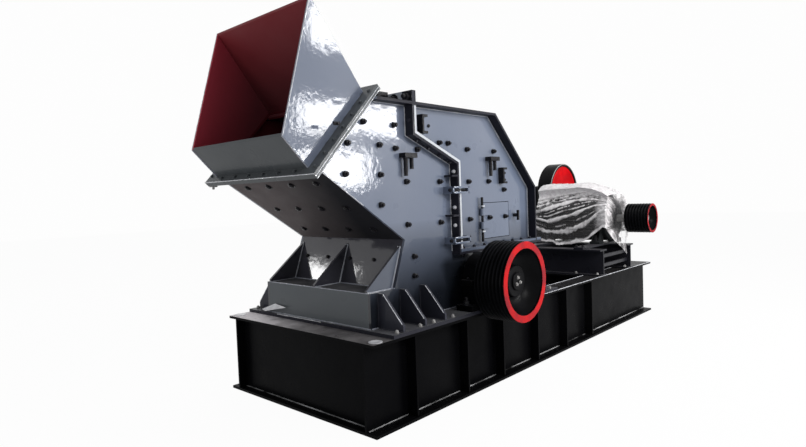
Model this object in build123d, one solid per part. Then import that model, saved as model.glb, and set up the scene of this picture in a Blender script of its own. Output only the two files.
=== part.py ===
from build123d import *
from math import hypot
import os

# Impact fine crusher on its base frame. Millimetres, +Z up, origin at the middle of the
# base's underside. -X is the feed end with the hopper, +X the motor end, and -Y is the
# drive side with the pulleys. The housing is laid out from the front end of the base's top,
# and the motor from its rear end, so that both follow the base.

# housing plates and their side outline, from the ledge round to the rear wall
housing_half_width = 600.0
side_plate_thickness = 20.0
shell_plate_thickness = 20.0
foot_flange_thickness = 25.0
foot_front = 190.0
front_plate_x = 220.0
ledge_z = 271.0
ledge_root_x = 468.0
floor_bend = (592.0, 612.0)
inlet_low = (-173.0, 1116.0)
inlet_high = (295.0, 1607.0)
top_z = 1600.0
top_rear_x = 1700.0
rear_wall_x = 2340.0
rear_bend_z = 975.0
rim_overhang = 80.0

# base frame of welded I-beams
base_length = 4840.0
base_height = 600.0
base_side_margin = 240.0
beam_flange_width = 200.0
end_beam_flange_width = 260.0
end_web_inset = 65.0
beam_flange_thickness = 20.0
beam_web_thickness = 16.0
stiffener_thickness = 16.0
stiffener_tip_gap = 12.0
stiffener_places = [416.0, 1011.0, 1507.0, 2072.0, 2623.0, 3185.0]
anchor_hole_radius = 18.0
anchor_end_distance = 220.0
anchor_edge_distance = 40.0

# split between the front and the rear housing, with its bolted flanges
split_top_x = 653.0
split_bend_high_z = 1377.0
split_bend_low = (1162.0, 1176.0)
split_level_z = 472.0
split_flange_thickness = 20.0
split_flange_width = 80.0
split_stiffener_places = [1071.0, 761.0]
split_stiffener_thickness = 14.0
split_stiffener_length = 70.0
clamp_places = [960.0, 567.0]
clamp_height = 56.0
clamp_leg_gap = 70.0
clamp_leg_thickness = 16.0
clamp_bridge_thickness = 18.0

# gussets
gusset_thickness = 20.0
front_gusset_inset = 40.0
front_gusset_height = 300.0
side_gusset_places = [300.0, 525.0, 745.0, 2000.0, 2220.0]
side_gusset_setback = 8.0
side_gusset_height = 240.0
side_gusset_top = 55.0
side_gusset_nose = 42.0

# feed flanges and hopper
feed_flange_thickness = 20.0
feed_flange_width = 60.0
feed_flange_side = 100.0
hopper_setback = 50.0
hopper_plate_thickness = 16.0
hopper_lap = 24.0
mouth_low = (-402.0, 1314.0)
mouth_high = (-150.0, 2195.0)

# inspection doors in the rear housing sides, set flush in their openings; the hinge and
# latch heights are measured from the door's bottom edge
door_left_x = 1577.0
door_width = 415.0
door_bottom_z = 537.0
door_height = 311.0
door_gap = 5.0
hinge_setback = 37.0
hinge_standoff = 26.0
hinge_rod_radius = 11.0
hinge_rod_tail = 17.0
hinge_rod_head = 46.0
hinge_clearance = 0.1
knuckle_places = [282.0, 70.0]
knuckle_thickness = 12.0
knuckle_half_width = 16.0
leaf_barrel_places = [233.0, 119.0]
leaf_barrel_radius = 17.0
leaf_barrel_height = 60.0
leaf_strap_thickness = 12.0
leaf_strap_gap = 5.0
leaf_strap_lap = 80.0
latch_distance = 87.0
latch_height = 182.0
latch_radius = 16.0
latch_length = 34.0
latch_grip_length = 90.0
latch_grip_width = 18.0

# rotor, its shaft and its bearings
rotor_x = 1359.0
rotor_z = 240.0
shaft_radius = 75.0
shaft_fit = 0.05
shaft_side_gap = 25.0
drum_radius = 400.0
drum_side_gap = 40.0
blow_bar_radius = 520.0
blow_bar_thickness = 90.0
blow_bar_count = 4
blow_bar_seat = 90.0
bearing_rim_gap = 10.0
bearing_width = 145.0
bearing_cap_radius = 215.0
bearing_foot_length = 600.0
bearing_foot_height = 45.0

# grooved drive pulley
pulley_gap = 35.0
hub_setback = 20.0
shaft_end_length = 20.0
pulley_radius = 311.0
pulley_width = 260.0
pulley_rim = 55.0
pulley_web = 34.0
pulley_web_depth = 95.0
pulley_hub_radius = 125.0
pulley_hub_depth = 80.0
groove_count = 8
groove_depth = 20.0
groove_flat = 9.0

# motor, its pulley and its carrying beams
motor_x = -734.0
motor_shaft_height = 280.0
motor_ground_gap = 12.0
motor_pulley_gap = 170.0
motor_length = 820.0
motor_foot_spread = 254.0
motor_foot_width = 110.0
motor_foot_length = 120.0
motor_foot_inset = 110.0
motor_foot_height = 150.0
motor_shaft_radius = 42.0
motor_shaft_grip = 120.0
motor_boss_radius = 120.0
motor_boss_length = 40.0
motor_pulley_radius = 163.0
motor_pulley_rim = 26.0
motor_pulley_hub_radius = 78.0
motor_pulley_web_depth = 70.0
motor_pulley_hub_depth = 55.0
terminal_box_size = (260.0, 220.0, 90.0)
terminal_box_setback = 640.0
motor_beam_places = [-1379.0, -635.0]
motor_beam_height = 280.0
motor_beam_width = 160.0
motor_beam_thickness = 16.0
rail_width = 110.0
rail_thickness = 24.0
rail_overhang = 225.0
tie_bar_places = [100.0, 200.0]
tie_bar_height = 34.0
tie_bar_depth = 24.0
tie_bar_inset = 40.0

# plastic film over the motor
film_thickness = 6.0
film_gap = 8.0
film_end_gap = 20.0
film_skirt_drop = 244.0
film_shoulder_rise = 66.0
film_crown_half_width = 145.0
film_slope_bulge = 0.62
seat_gap = 0.3

# second wheel on its stand at the motor end
wheel_x = -116.0
wheel_z = 889.0
wheel_radius = 391.0
wheel_motor_gap = 110.0
wheel_width = 190.0
wheel_rim = 34.0
wheel_web = 26.0
wheel_web_depth = 28.0
wheel_hub_radius = 80.0
wheel_shaft_radius = 45.0
stand_gap = 60.0
stand_depth = 160.0
stand_head_radius = 110.0
stand_foot_length = 220.0
stand_foot_thickness = 24.0
stand_column_length = 190.0

# apron brackets on the side plates, and lifting lugs on the top
yoke_places = [(627.0, 1201.0), (1709.0, 1201.0)]
yoke_size = (130.0, 62.0, 34.0)
yoke_leg_radius = 15.0
yoke_leg_lengths = (130.0, 80.0)
saddle_places = [(802.0, 1454.0), (1870.0, 1076.0)]
saddle_height = 140.0
saddle_width = 60.0
saddle_depth = 54.0
saddle_wall = 18.0
lug_inset = 170.0
lug_thickness = 30.0
lug_length = 110.0
lug_height = 95.0
lug_hole_radius = 22.0


def block(x0, x1, y0, y1, z0, z1):
    middle = ((x0 + x1) / 2, (y0 + y1) / 2, (z0 + z1) / 2)
    return Pos(*middle) * Box(abs(x1 - x0), abs(y1 - y0), abs(z1 - z0))


def rod_y(x, z, radius, y0, y1):
    return Pos(x, (y0 + y1) / 2, z) * Rot(90, 0, 0) * Cylinder(radius, abs(y1 - y0))


def rod_z(x, y, radius, z0, z1):
    return Pos(x, y, (z0 + z1) / 2) * Cylinder(radius, abs(z1 - z0))


def side_shape(points, y0, y1):
    """Outline of (x, z) points, extruded across the machine from y0 to y1."""
    start = min(y0, y1)
    face = make_face(Polyline([(x, start, z) for x, z in points], close=True))
    return extrude(face, amount=abs(y1 - y0), dir=(0, 1, 0))


def cross_shape(points, x0, x1):
    """Outline of (y, z) points, extruded along the machine from x0 to x1."""
    start = min(x0, x1)
    face = make_face(Polyline([(start, y, z) for y, z in points], close=True))
    return extrude(face, amount=abs(x1 - x0), dir=(1, 0, 0))


def offset_path(path, distance):
    """The path shifted to its left by distance, with mitred corners."""
    shifted = []
    for i, (x, z) in enumerate(path):
        normals = []
        for a, b in ((i - 1, i), (i, i + 1)):
            if a < 0 or b >= len(path):
                continue
            dx = path[b][0] - path[a][0]
            dz = path[b][1] - path[a][1]
            length = hypot(dx, dz)
            normals.append((-dz / length, dx / length))
        (ax, az), (bx, bz) = normals[0], normals[-1]
        share = 1 + ax * bx + az * bz
        shifted.append((x + (ax + bx) / share * distance, z + (az + bz) / share * distance))
    return shifted


def crossing(a, b, c, d):
    """Where the line through a and b meets the line through c and d."""
    ux, uz = b[0] - a[0], b[1] - a[1]
    vx, vz = d[0] - c[0], d[1] - c[1]
    share = ((c[0] - a[0]) * vz - (c[1] - a[1]) * vx) / (ux * vz - uz * vx)
    return (a[0] + ux * share, a[1] + uz * share)


def panel(a, b, inward, start, end):
    """Outline of a plate from a to b, its inner face trimmed by two end lines."""
    inner_a, inner_b = offset_path([a, b], inward)
    return [a, b, crossing(inner_a, inner_b, *end), crossing(inner_a, inner_b, *start)]


def mirrored(shape):
    return mirror(shape, about=Plane.XZ)


def pieces(*shapes):
    found = []
    for shape in shapes:
        found.extend(shape.solids())
    return Compound(children=found) if len(found) > 1 else found[0]


def both_sides(*shapes):
    return pieces(*shapes, *[mirrored(shape) for shape in shapes])


half_length = base_length / 2
half_width = housing_half_width + base_side_margin
web_half = beam_web_thickness / 2
side_beam_y = half_width - beam_flange_width / 2
flange_inner_y = half_width - beam_flange_width
web_inner_y = side_beam_y - web_half
end_web_x = half_length - end_web_inset - web_half
plate_inner_y = housing_half_width - side_plate_thickness
rim_half_width = housing_half_width + rim_overhang
under_top_z = top_z - shell_plate_thickness
wall_inside_x = rear_wall_x - shell_plate_thickness
split_x, split_bend_z = split_bend_low

# corners of the housing outline, seen from the drive side
ledge_front = (front_plate_x, ledge_z)
ledge_root = (ledge_root_x, ledge_z)
top_rear = (top_rear_x, top_z)
rear_bend = (rear_wall_x, rear_bend_z)
roof_line = ((0, top_z), (1, top_z))
roof_under_line = ((0, under_top_z), (1, under_top_z))
inlet_line = (inlet_low, inlet_high)
inlet_roof = crossing(*inlet_line, *roof_line)
inlet_under_roof = crossing(*inlet_line, *roof_under_line)
front_path = [(front_plate_x, foot_flange_thickness), ledge_front, ledge_root, floor_bend,
              inlet_low]
front_inside = offset_path(front_path, -shell_plate_thickness)
rear_path = [(split_top_x, top_z), top_rear, rear_bend, (rear_wall_x, split_level_z)]
rear_inside = offset_path(rear_path, -shell_plate_thickness)
split_path = [(split_top_x, under_top_z), (split_top_x, split_bend_high_z), split_bend_low,
              (split_x, split_level_z), (wall_inside_x, split_level_z)]


def side_beam():
    """One long beam of the base, on the far side."""
    flange_low = block(-half_length, half_length, flange_inner_y, half_width,
                       0, beam_flange_thickness)
    flange_high = block(-half_length, half_length, flange_inner_y, half_width,
                        base_height - beam_flange_thickness, base_height)
    web = block(-half_length, half_length, web_inner_y, side_beam_y + web_half,
                beam_flange_thickness, base_height - beam_flange_thickness)
    beam = flange_low + flange_high + web
    for place in stiffener_places:
        x = place - half_length
        beam += block(x - stiffener_thickness / 2, x + stiffener_thickness / 2,
                      side_beam_y, half_width - stiffener_tip_gap,
                      beam_flange_thickness, base_height - beam_flange_thickness)
    for x in (anchor_end_distance - half_length, half_length - anchor_end_distance):
        beam -= rod_z(x, half_width - anchor_edge_distance, anchor_hole_radius, 0,
                      beam_flange_thickness)
    return beam


def cross_beam(web_x, flange_start, flange_end):
    beam = block(web_x - web_half, web_x + web_half, -web_inner_y, web_inner_y,
                 beam_flange_thickness, base_height - beam_flange_thickness)
    for z in (0, base_height - beam_flange_thickness):
        beam += block(flange_start, flange_end, -flange_inner_y, flange_inner_y,
                      z, z + beam_flange_thickness)
    return beam


def end_beam(side):
    inner_x = side * (half_length - end_beam_flange_width)
    return cross_beam(side * end_web_x, side * half_length, inner_x)


def inner_cross_beam(x):
    return cross_beam(x, x - beam_flange_width / 2, x + beam_flange_width / 2)


def foot_flange():
    plate = block(foot_front, rear_wall_x + rim_overhang, -half_width, half_width,
                  0, foot_flange_thickness)
    return plate - block(front_inside[0][0], wall_inside_x, -plate_inner_y, plate_inner_y,
                         0, foot_flange_thickness)


def front_side_plate():
    outline = front_path + [inlet_under_roof] + split_path[:4]
    outline += [(rear_wall_x, split_level_z), (rear_wall_x, foot_flange_thickness)]
    plate = side_shape(outline, plate_inner_y, housing_half_width)
    return plate - rod_y(rotor_x, rotor_z, shaft_radius + shaft_side_gap,
                         plate_inner_y, housing_half_width)


def rear_side_plate():
    outline = split_path[:1] + rear_inside[1:] + split_path[3:0:-1]
    plate = side_shape(outline, plate_inner_y, housing_half_width)
    return plate - block(door_left_x, door_left_x + door_width, plate_inner_y,
                         housing_half_width, door_bottom_z, door_bottom_z + door_height)


def inner_panel(outline):
    return side_shape(outline, -plate_inner_y, plate_inner_y)


def rimmed_panel(outline):
    return side_shape(outline, -rim_half_width, rim_half_width)


def split_strip(side, end_x):
    """Flange along one side of the split, on the front (-1) or the rear (1) housing."""
    route = split_path[:4] + [(end_x, split_level_z)]
    edge = offset_path(route, side * split_flange_thickness)
    return side_shape(route + edge[::-1], housing_half_width, rim_half_width)


def split_top_bar(side):
    return block(split_top_x, split_top_x + side * split_flange_thickness, -rim_half_width,
                 rim_half_width, top_z, top_z + split_flange_width)


def split_back_bar(side):
    return block(rear_wall_x, rear_wall_x + split_flange_width, -rim_half_width,
                 rim_half_width, split_level_z, split_level_z + side * split_flange_thickness)


def front_split_flange():
    strip = split_strip(-1, rear_wall_x)
    root_x = split_x - split_flange_thickness
    for z in split_stiffener_places:
        strip += block(root_x - split_stiffener_length, root_x, housing_half_width,
                       rim_half_width, z - split_stiffener_thickness / 2,
                       z + split_stiffener_thickness / 2)
    ring = strip + mirrored(strip) + split_back_bar(-1)
    return pieces(ring, split_top_bar(-1))


def rear_split_flange():
    strips = both_sides(split_strip(1, wall_inside_x))
    return pieces(strips, split_top_bar(1), split_back_bar(1))


def split_clamp(z):
    reach = split_flange_thickness + clamp_leg_gap + clamp_leg_thickness
    bridge_y = rim_half_width + seat_gap
    low, high = z - clamp_height / 2, z + clamp_height / 2
    clamp = block(split_x - reach, split_x + reach, bridge_y,
                  bridge_y + clamp_bridge_thickness, low, high)
    for side in (-1, 1):
        clamp += block(split_x + side * reach, split_x + side * (reach - clamp_leg_thickness),
                       housing_half_width, bridge_y + clamp_bridge_thickness, low, high)
    return clamp


def front_gusset(y):
    top_share = front_gusset_height / (floor_bend[1] - ledge_z)
    top = (ledge_root_x + (floor_bend[0] - ledge_root_x) * top_share,
           ledge_z + front_gusset_height)
    outline = [ledge_front, ledge_root, top, (front_plate_x, ledge_z + gusset_thickness)]
    return side_shape(outline, y - gusset_thickness / 2, y + gusset_thickness / 2)


def side_gusset(x):
    root_y, tip_y = housing_half_width, half_width - side_gusset_setback
    low, high = foot_flange_thickness, foot_flange_thickness + side_gusset_height
    outline = [(root_y, low), (tip_y, low), (tip_y, low + side_gusset_nose),
               (root_y + side_gusset_top, high), (root_y, high)]
    return cross_shape(outline, x - gusset_thickness / 2, x + gusset_thickness / 2)


# feed flanges and hopper, laid out along the sloping inlet line

inlet_length = hypot(inlet_roof[0] - inlet_low[0], inlet_roof[1] - inlet_low[1])
inlet_run = ((inlet_roof[0] - inlet_low[0]) / inlet_length,
             (inlet_roof[1] - inlet_low[1]) / inlet_length)


def inlet_point(run, out):
    """A point run along the inlet line from its low end, and out towards the hopper."""
    return (inlet_low[0] + inlet_run[0] * run - inlet_run[1] * out,
            inlet_low[1] + inlet_run[1] * run + inlet_run[0] * out)


def inlet_frame(out_start, hole_low, hole_high, hole_half_width):
    out_end = out_start + feed_flange_thickness
    reach = hopper_lap + feed_flange_width
    outline = [inlet_point(-reach, out_start), inlet_point(inlet_length + reach, out_start),
               inlet_point(inlet_length + reach, out_end), inlet_point(-reach, out_end)]
    hole = [inlet_point(hole_low, out_start), inlet_point(hole_high, out_start),
            inlet_point(hole_high, out_end), inlet_point(hole_low, out_end)]
    edge_y = hopper_half_width + feed_flange_side
    return side_shape(outline, -edge_y, edge_y) - side_shape(hole, -hole_half_width,
                                                             hole_half_width)


def run_along_inlet(point):
    return ((point[0] - inlet_low[0]) * inlet_run[0]
            + (point[1] - inlet_low[1]) * inlet_run[1])


slope_end = (floor_bend, front_inside[3])
floor_outline = panel(floor_bend, inlet_low, -shell_plate_thickness, slope_end, inlet_line)
floor_lip = run_along_inlet(floor_outline[2])
roof_lip = run_along_inlet(inlet_under_roof)
hopper_half_width = housing_half_width - hopper_setback
hopper_inner_y = hopper_half_width - hopper_plate_thickness
throat_low = inlet_point(-hopper_lap, 2 * feed_flange_thickness)
throat_high = inlet_point(inlet_length + hopper_lap, 2 * feed_flange_thickness)
throat_line = (throat_low, throat_high)
mouth_line = (mouth_low, mouth_high)
hopper_floor_outline = panel(mouth_low, throat_low, hopper_plate_thickness,
                             mouth_line, throat_line)
hopper_roof_outline = panel(throat_high, mouth_high, hopper_plate_thickness,
                            throat_line, mouth_line)
hopper_side_outline = [mouth_low, throat_low, throat_high, mouth_high]
hopper_hole = (run_along_inlet(hopper_floor_outline[2]),
               run_along_inlet(hopper_roof_outline[3]))


# inspection doors, their hinges and latches, for the far side and mirrored

hinge_x = door_left_x - hinge_setback
hinge_y = housing_half_width + hinge_standoff


def inspection_door():
    strap_y = housing_half_width + leaf_strap_gap
    leaf_start_x = door_left_x + door_gap
    door_top_z = door_bottom_z + door_height
    leaf = block(leaf_start_x, door_left_x + door_width - door_gap, plate_inner_y,
                 housing_half_width, door_bottom_z + door_gap, door_top_z - door_gap)
    for place in leaf_barrel_places:
        low = door_bottom_z + place - leaf_barrel_height / 2
        high = low + leaf_barrel_height
        leaf += block(hinge_x, door_left_x + leaf_strap_lap, strap_y,
                      strap_y + leaf_strap_thickness, low, high)
        leaf += block(leaf_start_x, door_left_x + leaf_strap_lap, housing_half_width,
                      strap_y, low, high)
        leaf += rod_z(hinge_x, hinge_y, leaf_barrel_radius, low, high)
    bore = hinge_rod_radius + hinge_clearance
    return leaf - rod_z(hinge_x, hinge_y, bore, door_bottom_z, door_top_z)


def hinge_rod():
    rod = rod_z(hinge_x, hinge_y, hinge_rod_radius, door_bottom_z - hinge_rod_tail,
                door_bottom_z + door_height + hinge_rod_head)
    for place in knuckle_places:
        low = door_bottom_z + place - knuckle_thickness / 2
        rod += block(hinge_x - knuckle_half_width, hinge_x + knuckle_half_width,
                     housing_half_width, hinge_y + knuckle_half_width,
                     low, low + knuckle_thickness)
    return rod


def door_latch():
    latch_x = door_left_x + door_width + latch_distance
    latch_z = door_bottom_z + latch_height
    tip_y = housing_half_width + latch_length
    grip = block(latch_x - latch_grip_width / 2, latch_x + latch_grip_width / 2,
                 tip_y, tip_y + latch_grip_width, latch_z - latch_grip_length / 2,
                 latch_z + latch_grip_length / 2)
    return grip + rod_y(latch_x, latch_z, latch_radius, housing_half_width, tip_y)


# rotor, bearings and wheels

drum_half_width = plate_inner_y - drum_side_gap
bearing_inner_y = rim_half_width + bearing_rim_gap
bearing_outer_y = bearing_inner_y + bearing_width
pulley_back_y = -(bearing_outer_y + pulley_gap)
pulley_face_y = pulley_back_y - pulley_width


def bearing_housing():
    foot = block(rotor_x - bearing_foot_length / 2, rotor_x + bearing_foot_length / 2,
                 bearing_inner_y, bearing_outer_y, foot_flange_thickness,
                 foot_flange_thickness + bearing_foot_height)
    body = block(rotor_x - bearing_cap_radius, rotor_x + bearing_cap_radius,
                 bearing_inner_y, bearing_outer_y, foot_flange_thickness, rotor_z)
    cap = rod_y(rotor_x, rotor_z, bearing_cap_radius, bearing_inner_y, bearing_outer_y)
    bore = rod_y(rotor_x, rotor_z, shaft_radius + shaft_fit, bearing_inner_y, bearing_outer_y)
    return foot + body + cap - bore


def rotor_shaft():
    return rod_y(rotor_x, rotor_z, shaft_radius, pulley_face_y + pulley_hub_depth,
                 bearing_outer_y + shaft_end_length)


def blow_bar(turn):
    bar = block(drum_radius - blow_bar_seat, blow_bar_radius, -drum_half_width,
                drum_half_width, -blow_bar_thickness / 2, blow_bar_thickness / 2)
    return Pos(rotor_x, 0, rotor_z) * Rot(0, turn, 0) * bar


def rotor_drum(bars):
    drum = rod_y(rotor_x, rotor_z, drum_radius, -drum_half_width, drum_half_width)
    drum -= rod_y(rotor_x, rotor_z, shaft_radius + shaft_fit, -drum_half_width,
                  drum_half_width)
    for bar in bars:
        drum -= bar
    return drum


def groove_points(radius, width, count):
    """The rim's outer edge as (radius, depth from the face) points, with its V-grooves."""
    pitch = width / count
    points = [(radius, 0.0)]
    for i in range(count):
        middle = (i + 0.5) * pitch
        points += [(radius, middle - pitch / 2 + groove_flat / 2),
                   (radius - groove_depth, middle - groove_flat / 2),
                   (radius - groove_depth, middle + groove_flat / 2),
                   (radius, middle + pitch / 2 - groove_flat / 2)]
    return points + [(radius, width)]


def wheel_solid(edge, rim, web_depth, web, hub_radius, hub_front, bore, x, z, face_y):
    """A rim, a web and a hub turned round the Y axis, its face at face_y."""
    radius, width = edge[-1]
    inner = radius - rim
    hub_back = width - hub_setback
    profile = edge + [(inner, width), (inner, web_depth + web), (hub_radius, web_depth + web),
                      (hub_radius, hub_back), (bore, hub_back), (bore, hub_front),
                      (hub_radius, hub_front), (hub_radius, web_depth), (inner, web_depth),
                      (inner, 0.0)]
    face = make_face(Polyline([(r, depth, 0) for r, depth in profile], close=True))
    return Pos(x, face_y, z) * revolve(face, axis=Axis.Y)


drive_pulley = wheel_solid(groove_points(pulley_radius, pulley_width, groove_count),
                           pulley_rim, pulley_web_depth, pulley_web, pulley_hub_radius,
                           pulley_hub_depth, shaft_radius + shaft_fit, rotor_x, rotor_z,
                           pulley_face_y)

# motor on its beams

rail_top_z = motor_beam_height + rail_thickness
motor_z = rail_top_z + motor_shaft_height
motor_radius = motor_shaft_height - motor_ground_gap
motor_front_y = pulley_back_y + motor_pulley_gap
motor_back_y = motor_front_y + motor_length
foot_rows = [motor_front_y + motor_foot_inset, motor_back_y - motor_foot_inset]


def motor_body():
    body = rod_y(motor_x, motor_z, motor_radius, motor_front_y, motor_back_y)
    body += rod_y(motor_x, motor_z, motor_boss_radius, motor_front_y - motor_boss_length,
                  motor_front_y)
    for side in (-1, 1):
        foot_x = motor_x + side * motor_foot_spread
        for y in foot_rows:
            body += block(foot_x - motor_foot_width / 2, foot_x + motor_foot_width / 2,
                          y - motor_foot_length / 2, y + motor_foot_length / 2,
                          rail_top_z, rail_top_z + motor_foot_height)
    width, depth, height = terminal_box_size
    box_y = motor_front_y + terminal_box_setback
    body += block(motor_x - width / 2, motor_x + width / 2, box_y - depth / 2,
                  box_y + depth / 2, motor_z, motor_z + motor_radius + height)
    return body - rod_y(motor_x, motor_z, motor_shaft_radius + shaft_fit,
                        motor_front_y - motor_boss_length, motor_front_y + motor_shaft_grip)


def motor_beam(x):
    edge = motor_beam_width / 2
    beam = block(x - motor_beam_thickness / 2, x + motor_beam_thickness / 2, -half_width,
                 half_width, motor_beam_thickness, motor_beam_height - motor_beam_thickness)
    for z in (0, motor_beam_height - motor_beam_thickness):
        beam += block(x - edge, x + edge, -half_width, half_width, z,
                      z + motor_beam_thickness)
    return beam


def motor_rail(y):
    start_x, end_x = motor_beam_places
    return block(start_x - motor_beam_width / 2, end_x + rail_overhang, y - rail_width / 2,
                 y + rail_width / 2, motor_beam_height, rail_top_z)


def tie_bar(z):
    start_x, end_x = motor_beam_places
    start_x += motor_beam_thickness / 2
    end_x -= motor_beam_thickness / 2
    outer_y = half_width - tie_bar_inset
    return block(start_x, end_x, outer_y - tie_bar_depth, outer_y, z - tie_bar_height / 2,
                 z + tie_bar_height / 2)


def film_cover():
    """Loose film over the motor, open below, with a hole where the shaft comes out."""
    side = motor_foot_spread + motor_foot_width / 2 + film_gap
    crown_z = motor_z + motor_radius + terminal_box_size[2] + seat_gap
    shoulder_z = motor_z + film_shoulder_rise
    slope_z = shoulder_z + (crown_z - shoulder_z) * film_slope_bulge
    slope_x = film_crown_half_width + (side - film_crown_half_width) * film_slope_bulge
    right = [(side, motor_z - film_skirt_drop), (side, shoulder_z), (slope_x, slope_z),
             (film_crown_half_width, crown_z)]
    arch = [(motor_x + x, z) for x, z in right]
    arch += [(motor_x - x, z) for x, z in right[::-1]]
    front_y = motor_front_y - motor_boss_length - film_end_gap
    back_y = motor_back_y + film_end_gap
    cover = side_shape(offset_path(arch, -film_thickness), front_y - film_thickness,
                       back_y + film_thickness)
    cover -= side_shape(arch, front_y, back_y)
    return cover - rod_y(motor_x, motor_z, motor_shaft_radius + film_gap,
                         front_y - film_thickness, front_y)


# second wheel on its stand

wheel_face_y = motor_back_y + wheel_motor_gap
wheel_back_y = wheel_face_y + wheel_width
stand_front_y = wheel_back_y + stand_gap
stand_back_y = stand_front_y + stand_depth


def wheel_stand():
    foot = block(wheel_x - stand_foot_length / 2, wheel_x + stand_foot_length / 2,
                 stand_front_y, stand_back_y, 0, stand_foot_thickness)
    column = block(wheel_x - stand_column_length / 2, wheel_x + stand_column_length / 2,
                   stand_front_y, stand_back_y, stand_foot_thickness, wheel_z)
    head = rod_y(wheel_x, wheel_z, stand_head_radius, stand_front_y, stand_back_y)
    bore = rod_y(wheel_x, wheel_z, wheel_shaft_radius + shaft_fit, stand_front_y, stand_back_y)
    return foot + column + head - bore


# small brackets on the housing

def apron_yoke(x, z):
    length, depth, height = yoke_size
    yoke = block(x - length / 2, x + length / 2, housing_half_width,
                 housing_half_width + depth, z, z + height)
    for side, drop in zip((-1, 1), yoke_leg_lengths):
        yoke += rod_z(x + side * length / 4, housing_half_width + depth / 2,
                      yoke_leg_radius, z - drop, z)
    return yoke


def apron_saddle(x, z):
    low, high = z - saddle_height / 2, z + saddle_height / 2
    saddle = block(x - saddle_width / 2, x + saddle_width / 2, housing_half_width,
                   housing_half_width + saddle_depth, low, high)
    return saddle - block(x - saddle_width / 2 + saddle_wall, x + saddle_width / 2,
                          housing_half_width + saddle_wall, housing_half_width + saddle_depth,
                          low + saddle_wall, high - saddle_wall)


def lifting_lug(y):
    end_x = split_top_x - split_flange_thickness
    lug = block(end_x - lug_length, end_x, y - lug_thickness / 2, y + lug_thickness / 2,
                top_z, top_z + lug_height)
    return lug - rod_y(end_x - lug_length / 2, top_z + lug_height / 2, lug_hole_radius,
                       y - lug_thickness / 2, y + lug_thickness / 2)


blow_bars = [blow_bar(i * 360 / blow_bar_count) for i in range(blow_bar_count)]
outer_gusset_y = housing_half_width - front_gusset_inset
lug_y = housing_half_width - lug_inset
throat_out = feed_flange_thickness

base_nodes = {
    "base_near_beam": mirrored(side_beam()),
    "base_far_beam": side_beam(),
    "base_end_beams": pieces(end_beam(-1), end_beam(1)),
    "base_cross_beams": pieces(inner_cross_beam(rear_wall_x - half_length),
                               *[inner_cross_beam(half_length + x) for x in motor_beam_places]),
}
housing_nodes = {
    "foot_flange": foot_flange(),
    "front_side_plate_near": mirrored(front_side_plate()),
    "front_side_plate_far": front_side_plate(),
    "rear_side_plate_near": mirrored(rear_side_plate()),
    "rear_side_plate_far": rear_side_plate(),
    "front_ledge_box": inner_panel(front_path[:3] + front_inside[2::-1]),
    "front_slope_plate": inner_panel(front_path[2:4] + front_inside[3:1:-1]),
    "feed_floor": inner_panel(floor_outline),
    "front_roof": rimmed_panel([inlet_roof, (split_top_x, top_z), split_path[0],
                                inlet_under_roof]),
    "rear_roof": rimmed_panel(rear_path[:2] + rear_inside[1::-1]),
    "rear_slope": rimmed_panel(rear_path[1:3] + rear_inside[2:0:-1]),
    "rear_wall_upper": rimmed_panel(rear_path[2:] + rear_inside[3:1:-1]),
    "rear_wall_lower": block(wall_inside_x, rear_wall_x, -plate_inner_y, plate_inner_y,
                             foot_flange_thickness, split_level_z),
    "split_flange_front": front_split_flange(),
    "split_flange_rear": rear_split_flange(),
    "split_clamps": both_sides(*[split_clamp(z) for z in clamp_places]),
    "front_gussets": pieces(*[front_gusset(y) for y in (-outer_gusset_y, 0, outer_gusset_y)]),
    "side_gussets": both_sides(*[side_gusset(x) for x in side_gusset_places]),
    "inlet_flange": inlet_frame(0, floor_lip, roof_lip, plate_inner_y),
    "hopper_flange": inlet_frame(throat_out, *hopper_hole, hopper_inner_y),
    "hopper_side_walls": both_sides(side_shape(hopper_side_outline, hopper_inner_y,
                                               hopper_half_width)),
    "hopper_floor": side_shape(hopper_floor_outline, -hopper_inner_y, hopper_inner_y),
    "hopper_roof": side_shape(hopper_roof_outline, -hopper_inner_y, hopper_inner_y),
    "inspection_door_near": mirrored(inspection_door()),
    "inspection_door_far": inspection_door(),
    "door_hinge_rods": both_sides(hinge_rod()),
    "door_latches": both_sides(door_latch()),
    "apron_brackets": both_sides(*[apron_yoke(x, z) for x, z in yoke_places],
                                 *[apron_saddle(x, z) for x, z in saddle_places]),
    "lifting_lugs": both_sides(lifting_lug(lug_y)),
    "bearing_housings": both_sides(bearing_housing()),
    "rotor_shaft": rotor_shaft(),
    "rotor_drum": rotor_drum(blow_bars),
    "blow_bars": pieces(*blow_bars),
    "drive_pulley": drive_pulley,
}
motor_nodes = {
    "motor_beams": pieces(*[motor_beam(x) for x in motor_beam_places]),
    "motor_rails": pieces(*[motor_rail(y) for y in foot_rows]),
    "motor_tie_bars": both_sides(*[tie_bar(z) for z in tie_bar_places]),
    "motor_body": motor_body(),
    "motor_shaft": rod_y(motor_x, motor_z, motor_shaft_radius,
                         pulley_face_y + motor_pulley_hub_depth,
                         motor_front_y + motor_shaft_grip),
    "motor_pulley": wheel_solid(groove_points(motor_pulley_radius, pulley_width, groove_count),
                                motor_pulley_rim + groove_depth, motor_pulley_web_depth,
                                pulley_web, motor_pulley_hub_radius,
                                motor_pulley_hub_depth, motor_shaft_radius + shaft_fit,
                                motor_x, motor_z, pulley_face_y),
    "film_cover": film_cover(),
    "second_wheel": wheel_solid([(wheel_radius, 0.0), (wheel_radius, wheel_width)],
                                wheel_rim, wheel_web_depth, wheel_web, wheel_hub_radius,
                                hub_setback, wheel_shaft_radius + shaft_fit, wheel_x,
                                wheel_z, wheel_face_y),
    "second_wheel_shaft": rod_y(wheel_x, wheel_z, wheel_shaft_radius,
                                wheel_face_y + hub_setback, stand_back_y),
    "second_wheel_stand": wheel_stand(),
}
base_front = Pos(-half_length, 0, base_height)
base_rear = Pos(half_length, 0, base_height)

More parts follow.
